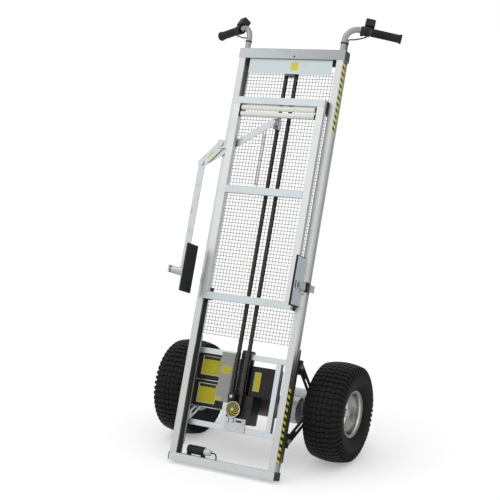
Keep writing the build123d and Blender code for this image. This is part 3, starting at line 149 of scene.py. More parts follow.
class Finish:
    """A material with one Principled shader, whose nodes are added a line at a time."""

    def __init__(self, name, **constants):
        self.material = bpy.data.materials.new(name)
        self.material.use_nodes = True
        self.tree = self.material.node_tree
        self.shader = self.tree.nodes["Principled BSDF"]
        self.feed(**constants)

    def node(self, kind, settings=None, sockets=None, out=0):
        """Add a node: settings first, then the values or wires of its sockets."""
        made = self.tree.nodes.new(kind)
        for key, value in (settings or {}).items():
            setattr(made, key, value)
        for key, value in (sockets or {}).items():
            self.join(made.inputs[key], value)
        return Wire(self, made.outputs[out])

    def join(self, socket, value):
        if isinstance(value, Wire):
            self.tree.links.new(value.socket, socket)
        else:
            socket.default_value = value

    def feed(self, **values):
        """Set or link sockets of the shader; an underscore stands for a space."""
        for key, value in values.items():
            self.join(self.shader.inputs[key.replace("_", " ")], value)

    def place(self):
        """Where a point of the surface is at rest, in millimetres of the mast's frame."""
        point = self.node("ShaderNodeTexCoord", out="Object")
        sockets = {"Vector": point, "Location": SHIFT, "Rotation": (-LEAN, 0, 0), "Scale": (0.001,) * 3}
        return self.node("ShaderNodeMapping", {"vector_type": "TEXTURE"}, sockets)

    def axes(self, place):
        parts = self.node("ShaderNodeSeparateXYZ", {}, {0: place})
        outputs = parts.socket.node.outputs
        return [Wire(self, outputs[i]) for i in range(3)]

    def noise(self, place, size, stretch=(1, 1, 1), detail=3.0):
        """Cloudy noise from 0 to 1 with spots of about the given size in millimetres."""
        scale = tuple(1 / (size * s) for s in stretch)
        spread = self.node("ShaderNodeMapping", {}, {"Vector": place, "Scale": scale})
        return self.node("ShaderNodeTexNoise", {}, {"Vector": spread, "Scale": 1.0, "Detail": detail})

    def mask(self, value, low, high):
        """0 below low and 1 above high, smooth between them."""
        settings = {"interpolation_type": "SMOOTHSTEP"}
        return self.node("ShaderNodeMapRange", settings, {"Value": value, "From Min": low, "From Max": high})

    def mix(self, share, first, second):
        """A colour between two colours."""
        return self.node("ShaderNodeMix", {"data_type": "RGBA"}, {0: share, 6: first, 7: second}, out=2)

    def bump(self, height, depth, strength=0.5):
        """Feed the normal with a height from 0 to 1, depth in millimetres."""
        sockets = {"Height": height, "Distance": depth / 1000, "Strength": strength}
        self.feed(Normal=self.node("ShaderNodeBump", {}, sockets))


def tone(red, green, blue, by=1.0):
    """A colour, made lighter or darker."""
    return (min(red * by, 1.0), min(green * by, 1.0), min(blue * by, 1.0), 1.0)


print("helpers ready")

# %% [markdown]
# The mast is made of aluminium extrusions. The die leaves fine lines along each bar, and handling
# leaves dull patches. A photo texture would show this once; stretched noise shows it anywhere and
# at any distance. The lines run along the bar, so the uprights and the crossbars need two finishes.

# %% Aluminium
ALONG_MAST = (0.5, 0.5, 90.0)
ACROSS_MAST = (90.0, 0.5, 0.5)
CHANNEL_FRONT, CHANNEL_BACK, CHANNEL_EDGE = 4.0, 40.0, 0.1
WEB_INSIDE, WEB_OUTSIDE = 206.5, 207.5
CROSSBAR_DEEP, CROSSBAR_FOOT, CROSSBAR_TOP = 44.0, 1512.0, 1550.0
HOLLOW_FROM, HOLLOW_TO = 1.2, 1.8


def extruded(name, colour, lines, rough=0.34):
    """Aluminium as it comes from the die: fine lines and dull patches."""
    made = Finish(name, Metallic=1.0)
    place = made.place()
    fine = made.noise(place, 1.6, lines, 2.0)
    patch = made.noise(place, 85.0, detail=4.0)
    dull = made.mask(patch, 0.5, 0.72)
    shade = fine * 0.45 + patch * 0.55
    made.base = made.mix(shade, tone(*colour, by=0.84), tone(*colour, by=1.07))
    made.feed(Base_Color=made.base)
    made.feed(Roughness=rough - 0.06 + fine * 0.14 + dull * 0.10)
    made.bump(fine, 0.12, 0.25)
    return made


def painted_rail_shade(made):
    """Painted shade in the channels that the glides run in, darkest low down, and a painted reflection of
    the tyres low on the outer sides.
    """
    x, y, z = made.axes(made.place())
    reach = made.node("ShaderNodeMath", {"operation": "ABSOLUTE"}, {0: x})
    between = made.mask(y, CHANNEL_FRONT - CHANNEL_EDGE, CHANNEL_FRONT + CHANNEL_EDGE)
    between = between * (1 - made.mask(y, CHANNEL_BACK - CHANNEL_EDGE, CHANNEL_BACK + CHANNEL_EDGE))
    shade_streaks = made.noise(made.place(), 30.0, (0.6, 0.6, 6.0), 4.0)
    thick = (0.6 + shade_streaks * 0.4) * (1 - made.mask(z, 500.0, 1400.0) * 0.6)
    # Painted shade: the channel between the flanges is darker, most of all low down.
    channel_shade = between * (reach < WEB_INSIDE) * thick
    # Painted reflection of the tyres: a dark band low on the outer sides of the web.
    low = made.mask(z, 20.0, 90.0) * (1 - made.mask(z, 360.0, 560.0))
    tyre_reflection = made.mask(y, 34.0, 36.0) * (reach > WEB_OUTSIDE) * low * (0.75 + shade_streaks * 0.25)
    channel_shaded = made.mix(channel_shade, made.base, (0.040, 0.042, 0.045, 1.0))
    made.feed(Base_Color=made.mix(tyre_reflection, channel_shaded, (0.030, 0.030, 0.032, 1.0)))
    return made


def painted_inside_and_end_shade(made, depth, low, high):
    """Painted shade: the unseen inside of a hollow bar near black, and the bar darker towards its right end.
    """
    x, y, z = made.axes(made.place())
    # Painted shade: the inside of the hollow bar is near black.
    inside = made.mask(y, HOLLOW_FROM, HOLLOW_TO)
    inside = inside * (1 - made.mask(y, depth - HOLLOW_TO, depth - HOLLOW_FROM))
    inside = inside * made.mask(z, low + HOLLOW_FROM, low + HOLLOW_TO)
    inside = inside * (1 - made.mask(z, high - HOLLOW_TO, high - HOLLOW_FROM))
    # Painted reflection: the bar grows darker towards its right end.
    dull = made.mix(made.mask(x, -210.0, 230.0) * 0.45, made.base, (0.11, 0.118, 0.12, 1.0))
    made.feed(Base_Color=made.mix(inside, dull, (0.012, 0.012, 0.012, 1.0)))
    return made


mast_metal = painted_rail_shade(extruded("mast aluminium", (0.49, 0.50, 0.495), ALONG_MAST))
bar_metal = extruded("crossbar aluminium", (0.37, 0.395, 0.40), ACROSS_MAST, rough=0.30)
bar_metal = painted_inside_and_end_shade(bar_metal, CROSSBAR_DEEP, CROSSBAR_FOOT, CROSSBAR_TOP)
foot_metal = extruded("foot bar aluminium", (0.50, 0.525, 0.53), ACROSS_MAST, rough=0.34)
panel_metal = extruded("panel sheet", (0.47, 0.52, 0.53), ACROSS_MAST, rough=0.45)
frame_metal = extruded("rear frame aluminium", (0.53, 0.565, 0.58), ACROSS_MAST, rough=0.38)
carriage_metal = extruded("carriage aluminium", (0.57, 0.59, 0.58), ALONG_MAST, rough=0.42)
carriage_cross = extruded("carriage crossbar", (0.51, 0.55, 0.56), ACROSS_MAST, rough=0.42)
print("aluminium finishes: 7")

# %% [markdown]
# Zinc plating on steel is brighter and a little bluish, with a faint spangle, and it goes dull
# where parts rub. A texture of cells makes the spangle, and a mask of noise makes the rubbed spots.

# %% Plated steel, chrome and chain
def plated(name, colour, rough, spangle=0.25, grain=9.0):
    """Plated steel with faint crystals and rubbed spots."""
    made = Finish(name, Metallic=1.0)
    place = made.place()
    spread = made.node("ShaderNodeMapping", {}, {"Vector": place, "Scale": (1 / grain,) * 3})
    cells = made.node("ShaderNodeTexVoronoi", {}, {"Vector": spread, "Scale": 1.0}, out="Color")
    crystal = made.axes(cells)[0]
    rub = made.mask(made.noise(place, 26.0, detail=5.0), 0.54, 0.70)
    shade = 0.5 + (crystal - 0.5) * spangle - rub * 0.25
    made.feed(Base_Color=made.mix(shade, tone(*colour, by=0.72), tone(*colour, by=1.16)))
    made.feed(Roughness=rough + (crystal - 0.5) * 0.10 + rub * 0.14)
    made.bump(made.noise(place, 2.4), 0.10, 0.2)
    return made


zinc = plated("zinc plate", (0.46, 0.485, 0.495), 0.33)
dull_zinc = plated("dull zinc", (0.335, 0.385, 0.395), 0.38)
wire_zinc = plated("guard wire", (0.145, 0.147, 0.15), 0.42, grain=4.0)
spring_steel = plated("spring steel", (0.55, 0.56, 0.56), 0.22, spangle=0.1)
chrome = plated("chrome", (0.29, 0.295, 0.30), 0.10, spangle=0.05)
chain_steel = plated("oiled chain", (0.050, 0.049, 0.046), 0.42, spangle=0.5, grain=6.0)
cast_metal = plated("cast aluminium", (0.50, 0.505, 0.51), 0.48, spangle=0.35, grain=3.0)


def spun_metal(name, colour, rough):
    """Bright pressed metal with fine rings about the axle, and a rougher lip, darkened as painted
    reflection.
    """
    made = Finish(name, Metallic=1.0)
    place = made.place()
    _, y, z = made.axes(place)
    out = ((y - WHEEL_MIDDLE.y) ** 2.0 + (z - WHEEL_MIDDLE.z) ** 2.0) ** 0.5
    sockets = {"W": out, "Scale": 0.9, "Detail": 3.0}
    ring = made.node("ShaderNodeTexNoise", {"noise_dimensions": "1D"}, sockets)
    haze = made.noise(place, 70.0, detail=2.0)
    # Painted reflection: the lip is darker than the dish, and also rougher.
    lip = made.mask(out, 74.0, 77.0)
    dish = made.mix(ring * 0.3 + haze * 0.7, tone(*colour, by=0.90), tone(*colour, by=1.06))
    made.feed(Base_Color=made.mix(lip, dish, tone(*colour, by=0.30)))
    made.feed(Roughness=rough + ring * 0.06 + lip * 0.10)
    return made


rim_silver = spun_metal("rim silver", (0.60, 0.60, 0.59), 0.17)
print("steel finishes: 8")

# %% [markdown]
# Paint is a colour under a thin gloss. Real paint is never even: it is dusty in patches, and
# scratched where tools touch it. Dust lightens and dulls; both come from the same noise mask, so
# they stay together.

# %% Paint
def painted(name, colour, rough, dust=0.10, grain=0.06, sheen=0.4):
    """Sprayed paint with orange peel, dust and faint scratches."""
    made = Finish(name, Specular_IOR_Level=sheen)
    place = made.place()
    haze = made.mask(made.noise(place, 60.0, detail=5.0), 0.42, 0.72)
    scratch = made.mask(made.noise(place, 2.2, (1.0, 1.0, 26.0), 2.0), 0.70, 0.78)
    base = made.mix(haze * dust, tone(*colour), (0.42, 0.41, 0.38, 1.0))
    made.feed(Base_Color=made.mix(scratch * 0.18, base, tone(*colour, by=0.6)))
    made.feed(Roughness=rough + haze * 0.14 + scratch * 0.10)
    made.bump(made.noise(place, 1.8), grain, 0.3)
    return made


black_paint = painted("black paint", (0.010, 0.0105, 0.011), 0.34, 0.04, sheen=0.25)
grey_paint = painted("grey paint", (0.27, 0.275, 0.265), 0.44, 0.10)
cream_paint = painted("cream paint", (0.80, 0.815, 0.76), 0.40, 0.04)
gloss_black = painted("gloss black", (0.012, 0.012, 0.0125), 0.18, 0.03, sheen=0.6)
motor_grey = painted("motor grey", (0.085, 0.086, 0.086), 0.34, 0.10)
white_cap = painted("pale cap", (0.62, 0.63, 0.63), 0.40, 0.08)
print("paint finishes: 6")

# %% [markdown]
# Moulded plastic and rubber are nearly the same black, and only their gloss and grain tell them
# apart. Plastic has a fine even grain. Rubber is duller, and tyres are grey with dust in the
# grooves, so the tyre's dust depends on the distance from the axle.

# %% Plastic and rubber
def moulded(name, colour, rough, grain, depth, dust=0.06):
    """Black plastic or rubber with a moulded grain."""
    made = Finish(name, Specular_IOR_Level=0.22)
    place = made.place()
    film = made.mask(made.noise(place, 38.0, detail=5.0), 0.45, 0.75)
    made.feed(Base_Color=made.mix(film * dust, tone(*colour), (0.36, 0.35, 0.33, 1.0)))
    made.feed(Roughness=rough + film * 0.12)
    made.bump(made.noise(place, grain, detail=2.0), depth, 0.4)
    return made


plastic = moulded("black plastic", (0.010, 0.010, 0.0105), 0.46, 0.9, 0.08, 0.03)
rubber = moulded("black rubber", (0.012, 0.012, 0.012), 0.60, 1.6, 0.12, 0.03)
cable_skin = moulded("cable sheath", (0.010, 0.010, 0.010), 0.42, 1.2, 0.05, 0.03)


def tyre_rubber():
    """Tyre rubber: dark on the blocks, dusty in the grooves and on the wall."""
    made = Finish("tyre rubber", Specular_IOR_Level=0.17)
    place = made.place()
    _, y, z = made.axes(place)
    out = ((y - WHEEL_MIDDLE.y) ** 2.0 + (z - WHEEL_MIDDLE.z) ** 2.0) ** 0.5
    groove = 1 - made.mask(out, 168.0, 175.0)
    cloud = made.noise(place, 22.0, detail=6.0)
    dust = groove * 0.02 + made.mask(cloud, 0.5, 0.75) * 0.03
    made.feed(Base_Color=made.mix(dust, (0.006, 0.006, 0.0065, 1.0), (0.20, 0.19, 0.17, 1.0)))
    made.feed(Roughness=0.50 + cloud * 0.16 + groove * 0.25)
    made.bump(made.noise(place, 1.4, detail=4.0), 0.25, 0.4)
    return made


tyre_skin = tyre_rubber()
print("plastic and rubber finishes: 4")

# %% [markdown]
# Three kinds of surface are printed: the hazard tape on the upright, the spinning disc on the lift
# shaft and the plain labels. An image would work, but stripes and spirals are a line of arithmetic
# on the surface's own place, and stay sharp at any distance.

# %% Tape, spiral and labels
YELLOW = (0.66, 0.60, 0.035, 1.0)
TAPE_YELLOW = (0.72, 0.70, 0.03, 1.0)
DEEP_YELLOW = (0.42, 0.375, 0.012, 1.0)
INK = (0.012, 0.012, 0.012, 1.0)


def film_finish(name):
    """Printed film: a Finish with slight waves, and a mask of where its print has rubbed off."""
    made = Finish(name, Specular_IOR_Level=0.3)
    place = made.place()
    waves = made.noise(place, 14.0, detail=4.0)
    made.feed(Roughness=0.34 + waves * 0.20)
    made.bump(waves, 0.25, 0.25)
    return made, place, made.mask(made.noise(place, 9.0, detail=6.0), 0.62, 0.74)


def striped_tape(stripe=22.8, slope=0.35):
    """Yellow and black stripes across a tape that runs along z."""
    made, place, rubbed = film_finish("hazard tape")
    _, y, z = made.axes(place)
    phase = (z + y * slope) / stripe % 1.0
    black = made.mask(phase, 0.47, 0.50) - made.mask(phase, 0.97, 1.0)
    colour = made.mix(black * (1 - rubbed * 0.1), TAPE_YELLOW, INK)
    made.feed(Base_Color=colour)
    return made


def spiral_face(middle_z=216.0, arms=10.0, twist=-1.1, rim=26.2):
    """Curved yellow and black arms inside a pale rim."""
    made, place, rubbed = film_finish("spiral disc")
    x, _, z = made.axes(place)
    z = z - middle_z
    radius = (x * x + z * z) ** 0.5
    angle = made.node("ShaderNodeMath", {"operation": "ARCTAN2"}, {0: z, 1: x}) / (2 * math.pi)
    phase = (angle * arms + radius * (twist / 10)) % 1.0
    black = made.mask(phase, 0.34, 0.40) - made.mask(phase, 0.94, 1.0)
    face = made.mix(black * (1 - rubbed * 0.1), DEEP_YELLOW, INK)
    made.feed(Base_Color=made.mix(radius > rim, face, (0.68, 0.68, 0.64, 1.0)))
    return made


def label_film(name, colour):
    """Plain printed film of one colour, a little faded in patches."""
    made, place, rubbed = film_finish(name)
    faded = made.noise(place, 40.0, detail=3.0)
    pale = made.mix(faded * 0.35, colour, tone(*colour[:3], by=1.25))
    made.feed(Base_Color=made.mix(rubbed * 0.12, pale, (0.55, 0.55, 0.52, 1.0)))
    return made


tape = striped_tape()
spiral = spiral_face()
yellow_film = label_film("yellow label", YELLOW)
deep_film = label_film("deep yellow label", DEEP_YELLOW)
ink_film = label_film("label print", INK)
edge_film = label_film("label edge", (0.62, 0.62, 0.58, 1.0))
print("printed finishes: 6")

# %% [markdown]
# A new mesh needs the same care each time: outward normals, smooth shading that keeps hard edges, a
# body to ride on and the CAD nodes that it stands for. One function does it for all pieces.

# %% Putting a piece on the truck
SAME_POINT = 1e-6
made_pieces = []


def settle(name, mesh, finish, body, stands_for=(), sharp=38.0):
    """Finish a mesh and put it on a body; given (body, body, start, end) instead, only fix it in place."""
    work = bmesh.new()
    work.from_mesh(mesh)
    bmesh.ops.remove_doubles(work, verts=work.verts, dist=SAME_POINT)
    bmesh.ops.recalc_face_normals(work, faces=work.faces)
    work.to_mesh(mesh)
    work.free()
    mesh.polygons.foreach_set("use_smooth", [True] * len(mesh.polygons))
    mesh.set_sharp_from_angle(angle=math.radians(sharp))
    mesh.materials.clear()
    mesh.materials.append(finish.material)
    made = bpy.data.objects.new(name, mesh)
    bpy.context.scene.collection.objects.link(made)
    if isinstance(body, str):
        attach(made, body)
    else:
        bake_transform(made)
    if stands_for:
        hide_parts(*stands_for)
    made_pieces.append(name)
    return made


def piece(name, shape, finish, body, stands_for=(), sharp=38.0):
    """A piece from (points in the mast's frame, faces)."""
    mesh = bpy.data.meshes.new(name)
    mesh.from_pydata([mast(*p) for p in shape[0]], [], shape[1])
    return settle(name, mesh, finish, body, stands_for, sharp)


def stitch(loops, wrap=False, caps=False):
    """Faces between closed loops of equal length; wrap joins the last loop to the first."""
    n = len(loops[0])
    faces = []
    for i in range(len(loops) if wrap else len(loops) - 1):
        j = (i + 1) % len(loops)
        faces += [(i * n + k, i * n + (k + 1) % n, j * n + (k + 1) % n, j * n + k) for k in range(n)]
    if caps:
        last = (len(loops) - 1) * n
        faces += [tuple(reversed(range(n))), tuple(range(last, last + n))]
    return [p for loop in loops for p in loop], faces


def merged(*shapes):
    """Several shapes as one."""
    points, faces = [], []
    for more_points, more_faces in shapes:
        start = len(points)
        points += more_points
        faces += [tuple(start + i for i in face) for face in more_faces]
    return points, faces


def lathe(profile, origin, axis, steps=48, closed=True):
    """Turn a profile of (along, radius) about an axis."""
    axis = Vector(axis).normalized()
    side = axis.orthogonal().normalized()
    other = axis.cross(side)
    angles = [2 * math.pi * k / steps for k in range(steps)]
    rays = [side * math.cos(a) + other * math.sin(a) for a in angles]
    loops = [[Vector(origin) + axis * along + ray * radius for ray in rays] for along, radius in profile]
    return stitch(loops, wrap=closed)


def tube(points, radius, sides=10):
    """A round wire through points."""
    points = [Vector(p) for p in points]
    loops, side = [], None
    for i, here in enumerate(points):
        ahead = points[min(i + 1, len(points) - 1)] - points[max(i - 1, 0)]
        ahead.normalize()
        side = ahead.orthogonal() if side is None else side - ahead * side.dot(ahead)
        side.normalize()
        other = ahead.cross(side)
        turns = [2 * math.pi * k / sides for k in range(sides)]
        loops.append([here + (side * math.cos(a) + other * math.sin(a)) * radius for a in turns])
    return stitch(loops, caps=True)


def slab(x0, x1, y0, y1, z0, z1):
    """A plain thin plate."""
    low = [(x0, y0, z0), (x1, y0, z0), (x1, y1, z0), (x0, y1, z0)]
    return stitch([low, [(x, y, z1) for x, y, _ in low]], caps=True)


print("piece helpers ready")

# %% [markdown]
# CAD solids have knife edges, and real bars and plates never do: their edges catch a thin line of
# light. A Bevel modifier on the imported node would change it, so each such node gets a copy. In the
# copy, flat faces are joined again, and the edges between them are rounded by 0.4 to 2.5
# millimetres.

# %% Rounded copies of the plain solids
FLAT, HARD_EDGE = math.radians(0.6), math.radians(50)


def rounded(node, finish, width, segments=2):
    """A copy of a CAD node with rounded edges, which stands for it."""
    mesh = frame["nodes"][node].data.copy()
    work = bmesh.new()
    work.from_mesh(mesh)
    bmesh.ops.remove_doubles(work, verts=work.verts, dist=SAME_POINT)
    bmesh.ops.dissolve_limit(work, angle_limit=FLAT, verts=work.verts, edges=work.edges)
    edges = [e for e in work.edges if e.is_manifold and e.calc_face_angle(0.0) > HARD_EDGE]
    bmesh.ops.bevel(work, geom=edges, offset=width / 1000, segments=segments, profile=0.5,
                    affect="EDGES", clamp_overlap=True)
    work.to_mesh(mesh)
    work.free()
    mesh.name = node + "_rounded"
    body = frame["nodes"][node]["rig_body"]
    made = settle(node + "_dressed", mesh, finish, body, [node])
    even = made.modifiers.new("even shading", "WEIGHTED_NORMAL")
    even.keep_sharp = True
    return made


ROUNDED = [
    ("upright_left", mast_metal, 0.8, "mast_aluminium"),
    ("upright_right", mast_metal, 0.8, "mast_aluminium"),
    ("foot_bar", foot_metal, 1.2, "mast_aluminium"),
    ("top_crossbar", bar_metal, 1.2, "mast_aluminium"),
    ("top_panel", panel_metal, 0.4, "mast_aluminium"),
    ("rear_frame", frame_metal, 0.8, "mast_aluminium"),
    ("bar_end_caps", plastic, 0.8, "black_plastic"),
    ("carriage_posts", carriage_metal, 1.0, "carriage_aluminium"),
    ("carriage_bars", carriage_cross, 1.0, "carriage_aluminium"),
    ("carriage_glides", plastic, 1.0, "black_plastic"),
    ("guide_block", plastic, 1.0, "black_plastic"),
    ("grip_plate_right", dull_zinc, 1.2, "zinc_steel"),
    ("grip_plate_left", dull_zinc, 1.2, "zinc_steel"),
    ("jaw_bracket_right", chrome, 0.8, "zinc_steel"),
    ("grip_pad_right", rubber, 1.6, "black_rubber"),
    ("grip_pad_left", rubber, 1.6, "black_rubber"),
    ("electronics_box", grey_paint, 1.0, "grey_paint"),
    ("motor_controller", plastic, 1.5, "black_plastic"),
    ("batteries", plastic, 2.5, "black_plastic"),
    ("battery_tray", zinc, 0.6, "zinc_steel"),
]
for node, finish, width, slot in ROUNDED:
    rounded(node, finish, width)
print("rounded copies:", len(ROUNDED))

# %% [markdown]
# Some nodes already have the right shape, such as the chain with its links and pins, the sprockets
# and the bent tubes. They stay as they are and only take a finish.

# %% Finishes for the nodes that stay
KEPT = {
    "lift_chain": chain_steel, "drive_sprocket": chain_steel, "upper_sprocket": chain_steel,
    "lift_shaft": zinc, "spiral_disc": spiral, "upper_bracket": zinc, "tension_bracket": zinc,
    "frame_bolts": zinc, "arm_bracket": zinc, "clamp_bar": zinc, "clamp_arm": zinc,
    "chain_block": zinc, "half_shaft_right": zinc, "half_shaft_left": zinc,
    # The right struts are the same metal as the zinc left ones; their black paint is painted reflection of
    # the tyre.
    "handle_tubes": chrome, "axle_housing": cast_metal, "struts_right": black_paint,
    "struts_left": zinc, "strut_brackets": black_paint, "lift_gearbox": black_paint,
    "travel_stops": rubber, "control_box_right": plastic,
    "control_box_left": plastic, "lift_rocker": plastic, "throttle_lever": plastic,
    "cable_ties": plastic,
}
for node, finish in KEPT.items():
    slots = frame["nodes"][node].data.materials
    slots.clear()
    slots.append(finish.material)
print("finished in place:", len(KEPT))

# %% [markdown]
# The tyres are turf tyres: low blocks in rows, set in a zigzag, with grooves across the tread that
# run out over the shoulder. A displacement texture would need a very fine mesh to keep the block
# edges sharp. Here the rings of points follow the zigzag themselves, so a few points on each row
# make clean grooves.

# %% Tyres with their tread
TYRE_R = 181.0
ROWS = 54
ROW_STEPS = [(0.0, 0.0), (0.05, 1.0), (0.24, 1.0), (0.29, 0.0), (0.52, 0.0), (0.76, 0.0)]
COLUMN, SWING = 17.7, 4.6
GROOVE, GROOVE_MIDDLE, GROOVE_END = 6.0, 0.145, 0.29
SHOULDER_FROM, SHOULDER_TO, SHOULDER_OPEN = 42.0, 62.0, 0.75
LONG_GROOVES = (7.2, 7.9, 9.9, 10.6), (25.4, 26.0, 27.4, 28.0), (43.2, 43.8, 45.0, 45.6)
LONG_DEEP, BLOCK_PITCH = 2.6, 18.0
CROWN_DROP, SECTION_R = 9.0, 130.0
FADE_FROM, FADE_OVER = 138.0, 9.0
WALL_RINGS, RING_HIGH = ((97.0, 102.0), (134.0, 139.0)), 0.7
WALL = (62.0, 172.0), (72.0, 124.1), (53.85, 86.5)
BEAD = (53.85, 76.2)
LINING = [(44.8, 76.2), (46.0, 96.0), (62.0, 124.0), (52.0, 160.0), (0.0, 170.0)]
ON_GROUND = math.pi / 2 + LEAN + (0.5 - GROOVE_MIDDLE) * 2 * math.pi / ROWS


def through(first, middle, last, count):
    """Points on the arc through three points of a plane."""
    (ax, ay), (bx, by), (cx, cy) = first, middle, last
    d = 2 * (ax * (by - cy) + bx * (cy - ay) + cx * (ay - by))
    a2, b2, c2 = ax * ax + ay * ay, bx * bx + by * by, cx * cx + cy * cy
    mx = (a2 * (by - cy) + b2 * (cy - ay) + c2 * (ay - by)) / d
    my = (a2 * (cx - bx) + b2 * (ax - cx) + c2 * (bx - ax)) / d
    radius = math.hypot(ax - mx, ay - my)
    start, end = math.atan2(ay - my, ax - mx), math.atan2(cy - my, cx - mx)
    sweep = (end - start + math.pi) % (2 * math.pi) - math.pi
    turns = [start + sweep * k / count for k in range(count + 1)]
    return [(mx + radius * math.cos(t), my + radius * math.sin(t)) for t in turns]


def tread_line():
    """Half outline of the skin from the middle outwards: (x, radius, cross groove, long groove)."""
    across = [(0.0, 0.0)]
    for number, (lip, floor, floor_end, lip_end) in enumerate(LONG_GROOVES, 1):
        across += [(lip, 0.0), (floor, LONG_DEEP), (floor_end, LONG_DEEP), (lip_end, 0.0)]
        across.append((BLOCK_PITCH * number, 0.0))
    across.append((SHOULDER_TO, 0.0))
    line = [(x, TYRE_R - CROWN_DROP * (x / SHOULDER_TO) ** 2, GROOVE, deep) for x, deep in across]
    for x, radius in through(*WALL, 16)[1:]:
        fade = max(0.0, min(1.0, (radius - FADE_FROM) / FADE_OVER))
        raised = any(low < radius < high for low, high in WALL_RINGS)
        line.append((x, radius, GROOVE * fade, -RING_HIGH if raised else 0.0))
    return line + [(*BEAD, 0.0, 0.0)]


def zigzag(x):
    """How far a row of blocks is pushed round the tyre at x, in millimetres."""
    along = min(abs(x) / COLUMN, 3.0) % 2.0
    return SWING * (along if along < 1 else 2 - along)


def opened(share, x):
    """A step of a row at x; cross grooves get wider towards the shoulder."""
    out = max(0.0, min(1.0, (abs(x) - SHOULDER_FROM) / (SHOULDER_TO - SHOULDER_FROM)))
    if share > GROOVE_END:
        return share
    return GROOVE_MIDDLE + (share - GROOVE_MIDDLE) * (1 + SHOULDER_OPEN * out)


def tyre(side):
    """One tyre about its axle; side is 1 on the right and -1 on the left."""
    half = tread_line()
    skin = [(-x, r, c, g) for x, r, c, g in reversed(half[1:])] + half
    lining = LINING + [(-x, r) for x, r in reversed(LINING[:-1])]
    skin += [(x, r, 0.0, 0.0) for x, r in lining]
    loops = []
    for x, r, cross, long_groove in skin:
        away = Vector((x, r - SECTION_R)).normalized()
        loop = []
        for row in range(ROWS):
            for share, deep in ROW_STEPS:
                depth = max(deep * cross, long_groove) if long_groove >= 0 else long_groove
                turn = ON_GROUND + 2 * math.pi * (row + opened(share, x)) / ROWS - zigzag(x) / TYRE_R
                out, radius = x - away.x * depth, r - away.y * depth
                y, z = radius * math.cos(turn), radius * math.sin(turn)
                loop.append((side * (WHEEL_MIDDLE.x + out), WHEEL_MIDDLE.y + y, WHEEL_MIDDLE.z + z))
        loops.append(loop)
    return stitch(loops, wrap=True)


for word, side in (("right", 1), ("left", -1)):
    made = piece(f"tread_tyre_{word}", tyre(side), tyre_skin, f"wheel_{word}", [f"tyre_{word}"], 30)
    print(made.name, len(made.data.vertices), "points")

# %% [markdown]
# The rims are pressed steel: a rolled lip, a deep barrel, a dished disc with a raised ring, and a
# hub. All of it is round about the axle, so a lathe outline gives it in one go. The valve is a
# small piece of its own.

# %% Rims and valves
RIM_OUTLINE = [
    (57.0, 84.6), (56.4, 85.7), (55.5, 86.0), (54.6, 85.7), (54.1, 84.6), (54.1, 76.0), (-54.1, 76.0),
    (-54.1, 84.6), (-54.6, 85.7), (-55.5, 86.0), (-56.4, 85.7), (-57.0, 84.6), (-57.0, 82.0),
    (-55.2, 77.4), (-51.0, 74.4), (-44.0, 73.2), (-14.0, 73.0), (-10.0, 71.0), (-8.0, 66.0), (-8.0, 30.0),
    (-9.5, 26.0), (-14.0, 24.0), (-81.8, 24.0), (-81.8, 10.1), (19.8, 10.1), (19.8, 21.5), (18.0, 24.0),
    (3.0, 24.4), (-2.0, 26.5), (-4.6, 31.0), (-5.0, 40.0), (-4.2, 43.0), (-2.4, 45.0), (-2.4, 52.0),
    (-4.2, 54.0), (-5.0, 57.0), (-4.4, 64.0), (-2.0, 69.0), (3.0, 72.0), (10.0, 73.0), (44.0, 73.2),
    (51.0, 74.4), (55.2, 77.4), (57.0, 82.0),
]
VALVE = [(-5.0, 0.0), (-5.0, 6.0), (-2.0, 6.0), (1.0, 4.2), (12.0, 3.6), (12.0, 4.2), (19.0, 4.0),
         (20.0, 3.2), (20.0, 0.0)]
VALVE_AHEAD, VALVE_BELOW = 62.0, 10.0
for word, side in (("right", 1), ("left", -1)):
    middle = (side * WHEEL_MIDDLE.x, WHEEL_MIDDLE.y, WHEEL_MIDDLE.z)
    rim = lathe(RIM_OUTLINE, middle, (side, 0, 0), 72)
    piece(f"dished_rim_{word}", rim, rim_silver, f"wheel_{word}", [f"rim_{word}"], 42)
    foot = (middle[0], middle[1] - VALVE_AHEAD, middle[2] - VALVE_BELOW)
    valve = lathe(VALVE, foot, (side, 0, 0), 16, closed=False)
    piece(f"valve_{word}", valve, rubber, f"wheel_{word}", ())
print("rim outline points:", len(RIM_OUTLINE))

# %% [markdown]
# The guard behind the chain is woven wire. In a weave each wire goes over one neighbour and under
# the next. One could stack straight wires, but the small waves are what makes the guard glitter, so
# every wire is a thin tube that swings to and fro by its own thickness.

# %% Woven guard
GUARD_X, GUARD_LOW, GUARD_HIGH, GUARD_Y = 200.0, 470.0, 1477.0, 45.8
WIRE_R, GUARD_INSET = 0.85, 1.5
COLUMNS, LINES = 31, 79


def woven_guard():
    """Crossing wires with small waves."""
    width = 2 * (GUARD_X - GUARD_INSET)
    height = GUARD_HIGH - GUARD_LOW - 2 * GUARD_INSET
    xs = [-GUARD_X + GUARD_INSET + width * i / COLUMNS for i in range(COLUMNS + 1)]
    zs = [GUARD_LOW + GUARD_INSET + height * j / LINES for j in range(LINES + 1)]
    shapes = []
    for i, x in enumerate(xs):
        wave = [(x, GUARD_Y + WIRE_R * (-1) ** (i + j), z) for j, z in enumerate(zs)]
        shapes.append(tube(wave, WIRE_R, 6))
    for j, z in enumerate(zs):
        wave = [(x, GUARD_Y - WIRE_R * (-1) ** (i + j), z) for i, x in enumerate(xs)]
        shapes.append(tube(wave, WIRE_R, 6))
    return merged(*shapes)


guard = piece("woven_guard", woven_guard(), wire_zinc, "chassis", ["guard_mesh"], 60)
print(guard.name, COLUMNS * LINES, "gaps")

# %% [markdown]
# The clamp spring pulls the chain block down, and the slanting bar with it. Its coils are one wire
# on a screw line. The lower end stays on the carriage while the upper end follows the chain block;
# the mesh itself is fixed in place, on neither body.

# %% Clamp spring
SPRING_X, SPRING_Y, SPRING_FOOT, SPRING_HEAD = -54.1, 6.0, 1016.0, 1241.4
COILS, COIL_R, COIL_STEPS, SPRING_WIRE = 56, 6.0, 14, 1.0
TAIL, TAIL_BEND = 14.0, 6.0


